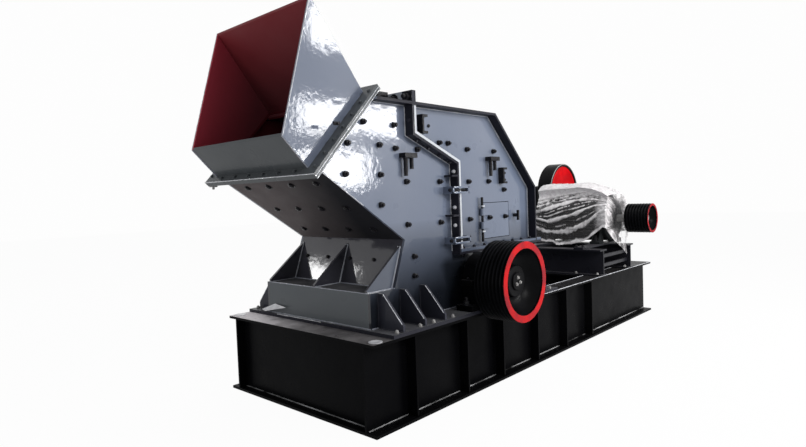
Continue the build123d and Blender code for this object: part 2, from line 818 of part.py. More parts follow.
os.makedirs("parts", exist_ok=True)
for place, nodes in ((Pos(0, 0, 0), base_nodes), (base_front, housing_nodes),
                     (base_rear, motor_nodes)):
    for name, shape in nodes.items():
        export_step(pieces(place * shape), "parts/" + name + ".step")
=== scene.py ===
import math
import random

import bpy
from mathutils import Matrix, Vector, noise as pattern


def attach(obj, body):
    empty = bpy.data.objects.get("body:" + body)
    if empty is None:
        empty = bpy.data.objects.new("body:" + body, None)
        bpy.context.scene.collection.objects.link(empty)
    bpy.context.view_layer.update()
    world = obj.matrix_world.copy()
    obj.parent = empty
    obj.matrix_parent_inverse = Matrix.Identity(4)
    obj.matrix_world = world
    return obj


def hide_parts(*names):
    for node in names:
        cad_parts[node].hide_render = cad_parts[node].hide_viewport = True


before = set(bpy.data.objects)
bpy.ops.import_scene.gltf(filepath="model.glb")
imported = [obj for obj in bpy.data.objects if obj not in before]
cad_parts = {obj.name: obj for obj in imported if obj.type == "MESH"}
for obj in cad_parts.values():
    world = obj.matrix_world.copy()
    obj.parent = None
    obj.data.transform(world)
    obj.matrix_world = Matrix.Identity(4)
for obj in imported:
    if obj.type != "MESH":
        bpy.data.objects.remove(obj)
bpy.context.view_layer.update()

scene = bpy.context.scene
rootBody = "frame"
bothWays = (-1, 1)
xWay, yWay, zWay = (1, 0, 0), (0, 1, 0), (0, 0, 1)
random.seed(7)


# selection and edit mode

def pickNone():
    bpy.ops.object.select_all(action="DESELECT")


def pick(*pieces):
    pickNone()
    for piece in pieces:
        piece.select_set(True)
    bpy.context.view_layer.objects.active = pieces[0]


def startEdit():
    bpy.ops.object.mode_set(mode="EDIT")


def endEdit():
    bpy.ops.object.mode_set(mode="OBJECT")


def selectAll():
    bpy.ops.mesh.select_all(action="SELECT")


def cleared(piece, kind):       # the piece's mesh with nothing on it selected
    pick(piece)
    startEdit()
    bpy.ops.mesh.select_mode(type=kind)
    bpy.ops.mesh.select_all(action="DESELECT")
    endEdit()
    return piece.data


def editFaces(piece, wanted):       # edit mode with the faces that pass the test selected
    for face in cleared(piece, "FACE").polygons:
        face.select = wanted(face.center, face.normal)
    startEdit()


def editEdges(piece, wanted):       # the same for edges, by their two ends
    mesh = cleared(piece, "EDGE")
    for edge in mesh.edges:
        edge.select = wanted(*[mesh.vertices[i].co for i in edge.vertices])
    startEdit()


def startInset(piece, thickness, depth=0):      # the top face set in, and still in edit mode
    editFaces(piece, lambda centre, normal: normal.z > 0.9)
    bpy.ops.mesh.inset(thickness=thickness, depth=depth)


def insetTop(piece, thickness, depth):
    startInset(piece, thickness, depth)
    endEdit()
    return piece


def facedOut(piece):
    pick(piece)
    startEdit()
    selectAll()
    bpy.ops.mesh.normals_make_consistent(inside=False)
    endEdit()
    return piece


def applied(piece):
    pick(piece)
    bpy.ops.object.transform_apply(location=True, rotation=True, scale=True)
    return piece


# primitives, standing at their place with nothing left to apply

def turnTo(direction):
    return Vector(direction).to_track_quat("Z", "Y")


def slab(low, high):
    pickNone()
    middle = [(a + b) / 2 for a, b in zip(low, high)]
    size = [b - a for a, b in zip(low, high)]
    bpy.ops.mesh.primitive_cube_add(size=1, location=middle, scale=size)
    return applied(bpy.context.object)


def rod(start, end, radius, sides):
    pickNone()
    run = Vector(end) - Vector(start)
    bpy.ops.mesh.primitive_cylinder_add(vertices=sides, radius=radius, depth=run.length,
                                        location=(Vector(start) + Vector(end)) / 2,
                                        rotation=turnTo(run).to_euler())
    return applied(bpy.context.object)


# an outline of (radius, y) points, with y from a face inwards, spun round the Y axis
def turned(profile, centre, steps=96, face=0):
    pickNone()
    bpy.ops.mesh.primitive_plane_add(size=0.01)
    wheel = bpy.context.object
    startEdit()
    bpy.ops.mesh.select_mode(type="VERT")
    selectAll()
    bpy.ops.mesh.merge(type="CENTER")
    selectAll()
    route = [inPlane((centre[0] + radius, centre[1]), face + y) for radius, y in profile + profile[:1]]
    bpy.ops.transform.translate(value=route[0])
    for before, after in zip(route, route[1:]):
        bpy.ops.mesh.extrude_vertices_move(TRANSFORM_OT_translate={"value": after - before})
    selectAll()
    bpy.ops.mesh.remove_doubles(threshold=0.00001)
    selectAll()
    bpy.ops.mesh.spin(steps=steps, angle=2 * math.pi, center=inPlane(centre), axis=yWay)
    selectAll()
    bpy.ops.mesh.remove_doubles(threshold=0.00001)
    bpy.ops.mesh.normals_make_consistent(inside=False)
    endEdit()
    return wheel


def bevelled(piece, width, segments=2):
    pick(piece)
    edges = piece.modifiers.new("edges", "BEVEL")
    edges.width = width
    edges.segments = segments
    edges.limit_method = "ANGLE"
    edges.angle_limit = math.radians(40)
    bpy.ops.object.modifier_apply(modifier=edges.name)
    return piece


def joined(*pieces):
    pick(*pieces)
    bpy.ops.object.join()
    return pieces[0]


def twin(model):        # a copy with its own mesh
    copy = model.copy()
    copy.data = model.data.copy()
    scene.collection.objects.link(copy)
    return copy


def copied(model, spots):       # one copy of the model at each (point, direction, turn)
    copies = []
    for point, direction, turn in spots:
        copy = twin(model)
        facing = turnTo(direction).to_matrix().to_4x4()
        copy.matrix_world = Matrix.Translation(point) @ facing @ Matrix.Rotation(turn, 4, "Z")
        copies.append(copy)
    bpy.context.view_layer.update()
    return applied(joined(*copies))


def mirroredCopy(piece):        # the same piece on the far side
    copy = twin(piece)
    pick(copy)
    bpy.ops.transform.resize(value=(1, -1, 1), center_override=(0, 0, 0))
    return facedOut(applied(copy))


def paired(piece):
    return joined(piece, mirroredCopy(piece))


def settled(piece, name, body, paint, replaced=()):
    applied(piece)
    bpy.ops.object.shade_smooth_by_angle(angle=math.radians(32))
    piece.name = name
    piece.data.name = name
    piece.data.materials.clear()
    piece.data.materials.append(paint)
    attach(piece, body)
    if replaced:
        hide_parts(*replaced)
    return piece


# places in the side view, as (x, z)

def inPlane(place, y=0):
    return Vector((place[0], y, place[1]))


def sideways(run):      # square to a run, in the side view
    return Vector((-run.z, 0, run.x)).normalized()


# camera at the photograph's place

print("camera")
cameraLook = {"place": (-4.8973, -3.3984, 1.5287), "turn": (87.262, 2.101, -47.610), "lens": 25.717}
bpy.ops.object.camera_add(location=cameraLook["place"],
                          rotation=[math.radians(a) for a in cameraLook["turn"]])
camera = bpy.context.object
camera.data.lens = cameraLook["lens"]
camera.data.clip_end = 200
scene.camera = camera


# shader nodes; they stand in a row from the output leftwards

def feed(tree, socket, value):      # a link, or a number, vector or colour on the socket itself
    if isinstance(value, bpy.types.NodeSocket):
        tree.links.new(value, socket)
    else:
        socket.default_value = (*value, 1) if socket.type == "RGBA" else value


def newNode(tree, kind, inputs=(), **settings):
    node = tree.nodes.new("ShaderNode" + kind)
    node.location = (-180 * len(tree.nodes), 0)
    for name, value in settings.items():
        setattr(node, name, value)
    for name, value in dict(inputs).items():
        feed(tree, node.inputs[name], value)
    return node


def noise(tree, coords, scale, detail):
    return newNode(tree, "TexNoise", {"Vector": coords, "Scale": scale, "Detail": detail}).outputs["Fac"]


def ranged(tree, value, low, high, toLow=0, toHigh=1):
    return newNode(tree, "MapRange", {"Value": value, "From Min": low, "From Max": high,
                                      "To Min": toLow, "To Max": toHigh}).outputs["Result"]


def sums(tree, operation, *values):
    return newNode(tree, "Math", enumerate(values), operation=operation).outputs[0]


def along(tree, vector, direction):      # how far a vector points along a direction
    return newNode(tree, "VectorMath", {0: vector, 1: direction},
                   operation="DOT_PRODUCT").outputs["Value"]


def rise(tree, coords, direction, low, high, toLow=0, toHigh=1):        # a change between two levels
    return ranged(tree, along(tree, coords, direction), low, high, toLow, toHigh)


def faceNormal(tree):
    return newNode(tree, "NewGeometry").outputs["Normal"]


def mixed(tree, share, first, second):
    return newNode(tree, "Mix", {0: share, 6: first, 7: second}, data_type="RGBA").outputs[2]


def bumped(tree, height, distance, before=None):
    bump = newNode(tree, "Bump", {"Height": height, "Strength": 1, "Distance": distance})
    if before:
        feed(tree, bump.inputs["Normal"], before)
    return bump.outputs["Normal"]


def seenRays(tree):      # camera, glossy and transmission rays see the background
    path = newNode(tree, "LightPath").outputs
    seen = sums(tree, "MAXIMUM", path["Is Camera Ray"], path["Is Glossy Ray"])
    return sums(tree, "MAXIMUM", seen, path["Is Transmission Ray"])


# floor, world and lamps

print("floor and light")
scene.view_settings.view_transform = "Standard"
white = (1, 1, 1)
lightLook = {"strength": 0.26, "colour": (0.92, 0.95, 1.0), "backdrop": 0.985,
             "floorColour": (0.80, 0.80, 0.80), "floorRoughness": 0.9, "floorGlow": 0.965,
             "floorSize": 60, "floorDrop": 0.001}


def shown(tree, share, plain, bright, output):      # the bright shader where the share is one
    mix = newNode(tree, "MixShader", {0: share, 1: plain.outputs[0], 2: bright.outputs[0]})
    feed(tree, tree.nodes[output].inputs["Surface"], mix.outputs[0])


world = bpy.data.worlds.new("studio")
scene.world = world
world.use_nodes = True
tree = world.node_tree
softLight = tree.nodes["Background"]
feed(tree, softLight.inputs["Color"], lightLook["colour"])
feed(tree, softLight.inputs["Strength"], lightLook["strength"])
whiteLight = newNode(tree, "Background", {"Color": white, "Strength": lightLook["backdrop"]})
shown(tree, seenRays(tree), softLight, whiteLight, "World Output")

pickNone()
bpy.ops.mesh.primitive_plane_add(size=lightLook["floorSize"], location=(0, 0, -lightLook["floorDrop"]))
floor = bpy.context.object
floor.name = "studioFloor"
floorPaint = bpy.data.materials.new("studio floor")
floorPaint.use_nodes = True
tree = floorPaint.node_tree
floorShader = tree.nodes["Principled BSDF"]
feed(tree, floorShader.inputs["Base Color"], lightLook["floorColour"])
feed(tree, floorShader.inputs["Roughness"], lightLook["floorRoughness"])
glowShare = sums(tree, "MULTIPLY", seenRays(tree), lightLook["floorGlow"])
shown(tree, glowShare, floorShader, newNode(tree, "Emission", {"Color": white}), "Material Output")
floor.data.materials.append(floorPaint)

# three window bands that the near paint mirrors, the key softbox, the top and the feed side:
# name, place, aim, size and power
lamps = [("windowLow", (2.20, -6.0, 2.10), (2.20, 0, 2.10), (1.8, 0.66), 95),
         ("windowMiddle", (2.75, -6.0, 3.05), (2.75, 0, 3.05), (2.7, 0.56), 120),
         ("windowHigh", (2.40, -6.0, 4.80), (2.40, 0, 4.80), (1.1, 0.80), 75),
         ("keySoftbox", (-1.4, -5.4, 3.9), (0.4, -0.4, 1.2), (1.8, 1.8), 135),
         ("topSoftbox", (-0.5, 0.5, 7.0), (-0.3, 0.1, 1.0), (5.0, 3.0), 150),
         ("feedWindow", (-7.0, 7.0, 3.62), (0, 7.0, 3.62), (1.8, 0.65), 75),
         ("feedFill", (-7.5, 2.0, 1.4), (-2.3, 0.1, 1.7), (1.6, 1.2), 28)]
for name, place, aim, size, power in lamps:
    toward = (Vector(aim) - Vector(place)).to_track_quat("-Z", "Y")
    bpy.ops.object.light_add(type="AREA", location=place, rotation=toward.to_euler())
    light = bpy.context.object
    light.name = name
    light.data.shape = "RECTANGLE"
    light.data.size, light.data.size_y = size
    light.data.energy = power


# paints and other finishes

print("finishes")
paintLook = {"patch": (0.38, 0.64), "gloss": (0.3, 0.7), "detail": 4, "dustTilt": (0.6, 1.0),
             "dustScale": 9, "dustDetail": 6, "coatRoughness": 0.06}


def newFinish(name):
    finish = bpy.data.materials.new(name)
    finish.use_nodes = True
    tree = finish.node_tree
    return finish, tree, tree.nodes["Principled BSDF"], newNode(tree, "TexCoord").outputs["Object"]


# sprayed paint: two close tones in soft patches or swept along a direction, uneven gloss, wavy
# plate and fine peel. "low" paints shade: it darkens the colour towards the foot and into a corner. A
# second paint covers the faces that "where" marks.
def paintFinish(look, second=None, where=None, **changes):
    look = dict(look, **changes)
    finish, tree, shader, coords = newFinish(look["name"])
    detail = paintLook["detail"]
    if "sweep" in look:
        share = rise(tree, coords, *look["sweep"])
    else:
        share = ranged(tree, noise(tree, coords, look["patchScale"], detail), *paintLook["patch"])
    colour = mixed(tree, share, look["colour"], look["secondColour"])
    # painted shade: darker towards the foot, and in the corner by the bearing
    if "low" in look:
        low = look["low"]
        corner = sums(tree, "MULTIPLY", rise(tree, coords, zWay, *low["cornerRise"], 1, 0),
                      rise(tree, coords, xWay, *low["corner"]))
        shadow = sums(tree, "MAXIMUM", rise(tree, coords, zWay, *low["rise"], 1, 0), corner)
        dark = tuple(c * low["left"] for c in look["colour"])
        colour = mixed(tree, sums(tree, "POWER", shadow, low["power"]), colour, dark)
    gloss = noise(tree, coords, look["glossScale"], detail)
    rough = ranged(tree, gloss, *paintLook["gloss"], *look["roughness"])
    coat = look["coat"]
    if second:
        marks = where(tree, coords)
        tones = rise(tree, coords, *second["sweep"]) if "sweep" in second else share
        colour = mixed(tree, marks, colour, mixed(tree, tones, *second["colours"]))
        rough = sums(tree, "ADD", rough, sums(tree, "MULTIPLY", marks, second["rougher"]))
        if second["matt"]:
            coat = sums(tree, "MULTIPLY", sums(tree, "SUBTRACT", 1, marks), coat)
    upward = ranged(tree, along(tree, faceNormal(tree), zWay), *paintLook["dustTilt"], 0, look["dust"])
    speckled = noise(tree, coords, paintLook["dustScale"], paintLook["dustDetail"])
    dusted = sums(tree, "MULTIPLY", upward, speckled)
    # dust with painted reflection: kept above a level, fullest at the front end and paler towards the far
    # front corner, where the base's top mirrors bright surroundings
    if "dustPlace" in look:
        dust = look["dustPlace"]
        pale = sums(tree, "POWER", rise(tree, coords, *dust["pale"]), dust["palePower"])
        for factor in (sums(tree, "GREATER_THAN", along(tree, coords, zWay), dust["above"]),
                       rise(tree, coords, (-1, 0, 0), *dust["end"], dust["rest"], 1),
                       sums(tree, "ADD", sums(tree, "MULTIPLY", pale, dust["paleMore"]), dust["paleRest"])):
            dusted = sums(tree, "MULTIPLY", dusted, factor)
    surface = None
    for part, finer in (("wave", 2), ("ripple", 4), ("peel", 2)):
        height = noise(tree, coords, look[part + "Scale"], finer)
        surface = bumped(tree, height, look[part + "Height"], surface)
    for name, value in (("Base Color", mixed(tree, dusted, colour, look["dustColour"])),
                        ("Roughness", rough), ("Normal", surface), ("Coat Normal", surface),
                        ("Coat Weight", coat), ("Coat Roughness", paintLook["coatRoughness"]),
                        ("Specular IOR Level", look["specular"])):
        feed(tree, shader.inputs[name], value)
    return finish


def tinted(base, name, colour, secondColour, **more):       # a finish like another in its own tones
    return dict(base, name=name, colour=colour, secondColour=secondColour, **more)


greyLook = {"name": "housing enamel", "colour": (0.139, 0.167, 0.232),
            "secondColour": (0.167, 0.192, 0.254), "patchScale": 0.9, "glossScale": 5,
            "roughness": (0.25, 0.40), "waveScale": 1.3, "waveHeight": 0.007, "rippleScale": 20,
            "rippleHeight": 0.0009, "peelScale": 120, "peelHeight": 0.00007, "specular": 0.12,
            "coat": 0.75, "dust": 0.35, "dustColour": (0.42, 0.42, 0.42)}
sideLook = dict(greyLook, name="side plate enamel and painted shade",
                # painted shade on the side plates: darker towards the foot and by the bearing
                low={"rise": (0.78, 1.34), "corner": (-1.62, -1.36), "cornerRise": (0.98, 1.12),
                     "power": 0.7, "left": 0.10})
# painted shade: a near-black copy of the enamel for the foot flange, the split flanges and the split flange
# bolts
footShadeLook = tinted(greyLook, "foot painted shade", (0.020, 0.020, 0.028), (0.036, 0.036, 0.046),
                  coat=0.08, specular=0.05)
# painted shade: the ledge box faces away from the lamps and gets a darker copy of the enamel
ledgeShadeLook = tinted(greyLook, "ledge painted shade", (0.125, 0.138, 0.148), (0.155, 0.166, 0.174),
                   coat=0.12, specular=0.05)
# painted shade: a still darker copy for the feed flanges, their bolts and the hopper's outside floor
shadeLook = tinted(ledgeShadeLook, "feed side painted shade", (0.080, 0.088, 0.094), (0.105, 0.113, 0.118))
# painted shade: the slope plate and the front gussets face away from the lamps and get a near-black copy of
# the enamel
slopeShadeLook = tinted(greyLook, "slope painted shade", (0.036, 0.035, 0.048), (0.054, 0.054, 0.066),
                   coat=0.8, specular=0.05, rippleHeight=0.0005)
# painted reflection: the feed floor's underside goes from near-black on the near side to a pale brownish
# grey on the far side, for the floor it mirrors
undersideLook = tinted(greyLook, "feed floor painted reflection", (0.018, 0.018, 0.021), (0.150, 0.130, 0.130),
                       coat=0.0, specular=0.03, roughness=(0.5, 0.7),
                       sweep=((-0.35, 0.8, 0), 0.45, 1.05))
plainBlack = {"name": "plain black", "colour": (0.0022, 0.0022, 0.0028),
              "secondColour": (0.0045, 0.0045, 0.0050), "patchScale": 1.3, "glossScale": 7,
              "roughness": (0.25, 0.40), "waveScale": 2.2, "waveHeight": 0.004, "rippleScale": 22,
              "rippleHeight": 0.0006, "peelScale": 240, "peelHeight": 0.0003, "specular": 0.02,
              "coat": 0.0, "dust": 0.60, "dustColour": (0.90, 0.85, 0.86)}
# the base's dust, with painted reflection: the end and pale settings brighten the top at the front end and
# towards the far front corner
baseDustAndSheen = {"above": 0.5, "end": (2.10, 2.28), "rest": 0.12, "pale": ((-1, 1, 0), 1.50, 3.00),
            "palePower": 3.2, "paleMore": 5.4, "paleRest": 0.40}
redLook = {"name": "wheel red", "colour": (0.66, 0.004, 0.008), "secondColour": (0.46, 0.003, 0.006),
           "patchScale": 6, "glossScale": 20, "roughness": (0.35, 0.55), "waveScale": 12,
           "waveHeight": 0.0008, "rippleScale": 60, "rippleHeight": 0.0004, "peelScale": 300,
           "peelHeight": 0.0002, "specular": 0.03, "coat": 0.0, "dust": 0.1,
           "dustColour": (0.4, 0.2, 0.2)}
boltLook = tinted(plainBlack, "bolt black", (0.008, 0.008, 0.012), (0.02, 0.019, 0.02),
                  patchScale=40, glossScale=60, specular=0.12, dust=0.12,
                  dustColour=(0.14, 0.135, 0.13), waveHeight=0.0)
# painted shade: the rear split flange is near-black above z 1.13, and lighter below z 1.10 where it runs
# along the side plate
rearFlangeLook = tinted(footShadeLook, "rear split flange", (0.105, 0.126, 0.175), (0.028, 0.028, 0.036),
                        sweep=(zWay, 1.10, 1.13))


def tintedPaint(*tones, **more):
    return paintFinish(tinted(*tones, **more))


greyPaint, footShadePaint, shadePaint, redPaint, boltPaint = [
    paintFinish(look) for look in (greyLook, footShadeLook, shadeLook, redLook, boltLook)]
blackPaint = paintFinish(plainBlack, name="frame black", dustPlace=baseDustAndSheen)
beamPaint = tintedPaint(plainBlack, "beam black", (0.010, 0.010, 0.014), (0.016, 0.016, 0.021),
                        specular=0.15, dust=0.25, dustPlace=dict(baseDustAndSheen, rest=0.5))
wheelPaint = tintedPaint(plainBlack, "wheel black", (0.0035, 0.0035, 0.004), (0.006, 0.006, 0.007),
                         dust=0.0, specular=0.04, patchScale=8)
ringPaint = tintedPaint(redLook, "ring red", (0.60, 0.018, 0.020), (0.30, 0.024, 0.032), patchScale=7)
dullRingPaint = tintedPaint(redLook, "dull ring red", (0.42, 0.020, 0.026), (0.085, 0.010, 0.013),
                            patchScale=11)
steelPaint = tintedPaint(greyLook, "bare steel", (0.42, 0.41, 0.40), (0.30, 0.29, 0.28),
                         patchScale=30, glossScale=40, roughness=(0.25, 0.5), coat=0.0,
                         waveHeight=0.0)
motorPaint = tintedPaint(plainBlack, "motor paint", (0.012, 0.013, 0.014), (0.020, 0.022, 0.023),
                         roughness=(0.35, 0.55), dust=0.3, dustColour=(0.14, 0.135, 0.13))
ironPaint = tintedPaint(plainBlack, "rotor iron", (0.09, 0.085, 0.08), (0.15, 0.11, 0.08),
                        patchScale=9, roughness=(0.5, 0.8), dust=0.2)
# painted shade: the side gussets and their welds take a dark copy of the enamel
gussetPaint = tintedPaint(footShadeLook, "side gusset", (0.046, 0.047, 0.062), (0.032, 0.033, 0.044))
palePaint = tintedPaint(greyLook, "pale strip", (0.80, 0.80, 0.82), (0.62, 0.62, 0.65),
                        patchScale=12, waveHeight=0.0, dust=0.0)
# painted highlight: the weld beads get a paler copy of the enamel for the light they catch
weldHighlightPaint = tintedPaint(greyLook, "weld enamel", (0.34, 0.36, 0.42), (0.44, 0.46, 0.50),
                        patchScale=14, waveHeight=0.0, roughness=(0.2, 0.4))
# painted highlight: grey patches on the base's black weld beads for the broken glint along them
blackWeldHighlightPaint = tintedPaint(plainBlack, "weld black", (0.50, 0.50, 0.50), (0.01, 0.01, 0.01),
                             patchScale=3.5, dust=0.0)
# painted highlight: the pale paint of the thin edge beads
edgeHighlightPaint = tintedPaint(greyLook, "bare edge", (0.72, 0.73, 0.76), (0.55, 0.56, 0.60),
                        patchScale=7, waveHeight=0.0, roughness=(0.2, 0.4), dust=0.0)


# marks for a second paint

def facing(direction, least=0.8):       # the faces that look along a direction
    return lambda tree, coords: sums(tree, "GREATER_THAN",
                                     along(tree, faceNormal(tree), direction), least)


def span(direction, low, high=9):       # the points between two levels along a direction
    def where(tree, coords):
        level = along(tree, coords, direction)
        return sums(tree, "MULTIPLY", sums(tree, "GREATER_THAN", level, low),
                    sums(tree, "LESS_THAN", level, high))
    return where


def merged(operation, marks):
    def where(tree, coords):
        total = marks[0](tree, coords)
        for mark in marks[1:]:
            total = sums(tree, operation, total, mark(tree, coords))
        return total
    return where


def both(*marks):
    return merged("MULTIPLY", marks)


def either(*marks):
    return merged("MAXIMUM", marks)


mouthFacing, inletAlong = (-0.9615, 0, 0.275), (0.6897, 0, 0.7241)
# the hopper's maroon inside, with painted shade: it darkens from the mouth inwards along the sweep
maroon = {"colours": ((0.200, 0.050, 0.060), (0.500, 0.056, 0.084)), "rougher": 0.15, "matt": True,
          "sweep": (mouthFacing, 2.80, 3.26)}
# painted shade: a darker copy of the maroon for the roof's downward inside face
roofMaroonShade = dict(maroon, colours=((0.110, 0.024, 0.028), (0.205, 0.020, 0.027)))
# pale second paint: painted highlights on the split flanges, and pale bands on the hinge rods
paleMarks = {"colours": ((0.46, 0.48, 0.52), (0.60, 0.62, 0.65)), "rougher": 0.05, "matt": False}
inner = {"colours": ((0.130, 0.022, 0.028), (0.150, 0.025, 0.032)), "rougher": 0.3, "matt": True}
# painted light: a lighter copy of the enamel for the front gussets' near faces, which the lamps light
lit = {"colours": ((0.060, 0.070, 0.096), (0.115, 0.130, 0.165)), "rougher": 0.05, "matt": False}
# painted shade: near-black on the rim plates' side edges and overhang undersides
rimShade = {"colours": ((0.010, 0.010, 0.016), (0.018, 0.018, 0.026)), "rougher": 0.1, "matt": True}
# painted shade: near-black on the ledge box's top face
ledgeTopShade = {"colours": ((0.026, 0.026, 0.032), (0.040, 0.040, 0.048)), "rougher": 0.1, "matt": True}
mouthEdge = facing(mouthFacing, 0.95)
insideHopper = span(yWay, -0.5345, 0.5345)
plateSides = either(facing(yWay, 0.9), facing((0, -1, 0), 0.9))
sidePaint = paintFinish(sideLook, inner, span(yWay, -0.5805, 0.5805))
feedFlangePaint = paintFinish(shadeLook, inner, both(insideHopper, span(inletAlong, -0.566, 0.146)),
                              name="feed flange")
rimPaint = paintFinish(greyLook, rimShade, either(plateSides, facing((-0.7, 0, -0.7), 0.4)),
                       name="rim enamel and painted shade")
nodePaints = {
    "hopper_side_walls": paintFinish(greyLook, maroon, either(insideHopper, both(
        mouthEdge, span(yWay, 0))), name="hopper wall"),
    "hopper_floor": paintFinish(shadeLook, maroon, facing((0.65, 0, 0.75)), name="hopper floor"),
    "hopper_roof": paintFinish(greyLook, roofMaroonShade, either(facing((-0.8, 0, -0.6)), mouthEdge),
                               name="hopper roof"),
    "front_ledge_box": paintFinish(ledgeShadeLook, ledgeTopShade, facing(zWay)),
    "front_slope_plate": paintFinish(slopeShadeLook),
    "feed_floor": paintFinish(undersideLook, inner, facing((0.55, 0, 0.83))),
    # split flanges: dark painted shade, with painted highlights on the front flange's near top and on the
    # rear flange's side edges
    "split_flange_front": paintFinish(footShadeLook, paleMarks, both(facing((-1, 0, 0)), span(zWay, 2.20), span(
        yWay, -0.585, -0.40)), name="split flange"),
    "split_flange_rear": paintFinish(rearFlangeLook, paleMarks, both(plateSides, span(zWay, 1.095, 2.172))),
    # front gussets: painted shade, with painted light on their near faces
    "front_gussets": paintFinish(slopeShadeLook, lit, both(facing((0, -1, 0)), span(yWay, -9, -0.5)),
                                 name="front gusset"),
    "door_hinge_rods": paintFinish(boltLook, paleMarks, either(*[span(
        zWay, z - 0.0066, z + 0.0066) for z in (1.419, 1.207)]), name="hinge black"),
    "side_gussets": gussetPaint, "foot_flange": footShadePaint, "motor_shaft": steelPaint}
sharedPaints = {"front_side_plate_near front_side_plate_far rear_side_plate_near "
                "rear_side_plate_far": sidePaint,
                "inlet_flange hopper_flange": feedFlangePaint,
                "front_roof rear_roof rear_slope rear_wall_upper": rimPaint,
                "motor_beams motor_rails motor_tie_bars": beamPaint,
                "rotor_drum blow_bars": ironPaint,
                "rotor_shaft drive_pulley motor_pulley second_wheel": wheelPaint,
                "door_latches apron_brackets lifting_lugs": boltPaint}
for names, paint in sharedPaints.items():
    nodePaints.update(dict.fromkeys(names.split(), paint))
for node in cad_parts.values():
    dark = node.name.startswith(("base", "bearing", "motor", "drive", "second"))
    node.data.materials.clear()
    node.data.materials.append(nodePaints.get(node.name, blackPaint if dark else greyPaint))


# nuts and bolts, each modelled once on the origin, pointing up

print("bolts")
linerBolt = {"flat": 0.034, "nutHeight": 0.020, "washer": 0.021, "washerHeight": 0.004,
             "stud": 0.011, "studEnd": 0.036}
flangeBolt = {"flat": 0.024, "nutHeight": 0.011, "washer": 0.015, "washerHeight": 0.003,
              "stud": 0.008, "studEnd": 0.019}
largeBolt = {"flat": 0.046, "nutHeight": 0.026, "washer": 0.040, "washerHeight": 0.006,
             "stud": 0.015, "studEnd": 0.058}
smallBolt = {"flat": 0.019, "nutHeight": 0.009, "washer": 0.014, "washerHeight": 0.0025,
             "stud": 0.006, "studEnd": 0.012}
wideBolt = {"flat": 0.040, "nutHeight": 0.008, "washer": 0.031, "washerHeight": 0.003,
            "stud": 0.013, "studEnd": 0.014}


def boltModel(flat, nutHeight, washer, washerHeight, stud, studEnd):
    disc = rod((0, 0, 0), (0, 0, washerHeight), washer, 20)
    nut = rod((0, 0, washerHeight), (0, 0, washerHeight + nutHeight), flat / math.sqrt(3), 6)
    insetTop(nut, flat * 0.08, flat * 0.045)
    shank = rod((0, 0, washerHeight), (0, 0, studEnd), stud, 12)
    insetTop(shank, stud * 0.22, stud * 0.2)
    return joined(disc, nut, shank)


boltModels = [boltModel(**look) for look in (linerBolt, flangeBolt, largeBolt, smallBolt, wideBolt)]
linerModel, flangeModel, largeModel, smallModel, wideModel = boltModels


def spin():
    return random.uniform(0, math.pi)


def bolts(name, model, spots, paint=boltPaint, body=rootBody):
    return settled(copied(model, spots), name, body, paint)


def upright(points):        # spots for bolts that stand on level plates
    return [(point, zWay, spin()) for point in points]


def roundSpots(centre, y, radius, count, first):        # spots on a circle that looks at the near side
    spots = []
    for i in range(count):
        angle = math.radians(first + 360 / count * i)
        place = (centre[0] + radius * math.cos(angle), centre[1] + radius * math.sin(angle))
        spots.append((inPlane(place, y), (0, -1, 0), spin()))
    return spots


# bolts of the side plates, in (x, z)
plateLook = {"outer": 0.600,
             "linerBolts": [(-2.209, 2.034), (-1.907, 2.031), (-2.358, 1.887), (-2.062, 1.885),
                            (-1.902, 1.867), (-1.666, 1.867), (-2.385, 1.685), (-2.061, 1.680),
                            (-1.796, 1.631), (-1.414, 1.629), (-2.065, 1.472), (-1.797, 1.320),
                            (-1.416, 1.315), (-1.739, 1.083), (-1.742, 0.939), (-1.405, 1.928),
                            (-1.296, 1.928), (-1.045, 1.889), (-0.660, 1.885), (-1.038, 1.626),
                            (-0.749, 1.627), (-0.512, 1.553), (-1.033, 1.318)],
             "doorBolts": [(-0.747, 1.318), (-0.500, 1.316)],
             "bracketPins": [(-1.520, 2.050), (-0.485, 1.700), (-0.485, 1.640)]}
for side, name in ((-1, "Near"), (1, "Far")):
    for kind, model, body in (("linerBolts", linerModel, rootBody),
                              ("doorBolts", linerModel, name.lower() + "_door"),
                              ("bracketPins", smallModel, rootBody)):
        bolts(kind + name, model, [(inPlane(place, side * plateLook["outer"]), (0, side, 0), spin())
                                   for place in plateLook[kind]], body=body)

# bolts through the feed floor's underside, the slope plate, the rear slope and the rear wall
def feedSpots(start, end, runs, across):
    run = (inPlane(end) - inPlane(start)).normalized()
    return [(inPlane(start, y) + run * step, -sideways(run), spin()) for step in runs for y in across]


def rearSpots(start, end, shares, across, wall, rows):
    spots, run = [], inPlane(end) - inPlane(start)
    for y in across:
        spots += [(inPlane(start, y) + run * share, sideways(run), spin()) for share in shares]
        spots += [((wall, y, z), xWay, spin()) for z in rows]
    return spots


feedLook = {"start": (-2.593, 1.716), "end": (-1.828, 1.212), "runs": (0.155, 0.463, 0.770),
            "across": (-0.405, -0.135, 0.135, 0.405)}
slopeBolts = {"place": (-1.883, 1.059), "facing": (-0.9399, 0.3417),
              "across": (-0.330, -0.065, 0.198, 0.462)}
rearLook = {"start": (-0.720, 2.200), "end": (-0.080, 1.575), "shares": (0.2, 0.5, 0.8),
            "across": (-0.43, -0.15, 0.15, 0.43), "wall": -0.080, "rows": (1.45, 1.20)}
bolts("feedFloorBolts", wideModel, feedSpots(**feedLook))
bolts("slopePlateBolts", flangeModel, [(inPlane(slopeBolts["place"], y), inPlane(slopeBolts["facing"]),
                                        spin()) for y in slopeBolts["across"]])
bolts("rearLinerBolts", linerModel, rearSpots(**rearLook))

# feed flanges, clamped together all round by bolts with a head at each side
inletLook = {"low": (-2.593, 1.716), "high": (-2.132, 2.200), "thickness": 0.040, "edge": 0.612,
             "sideCount": 7, "acrossCount": 8, "reach": 0.052, "overrun": 0.02}


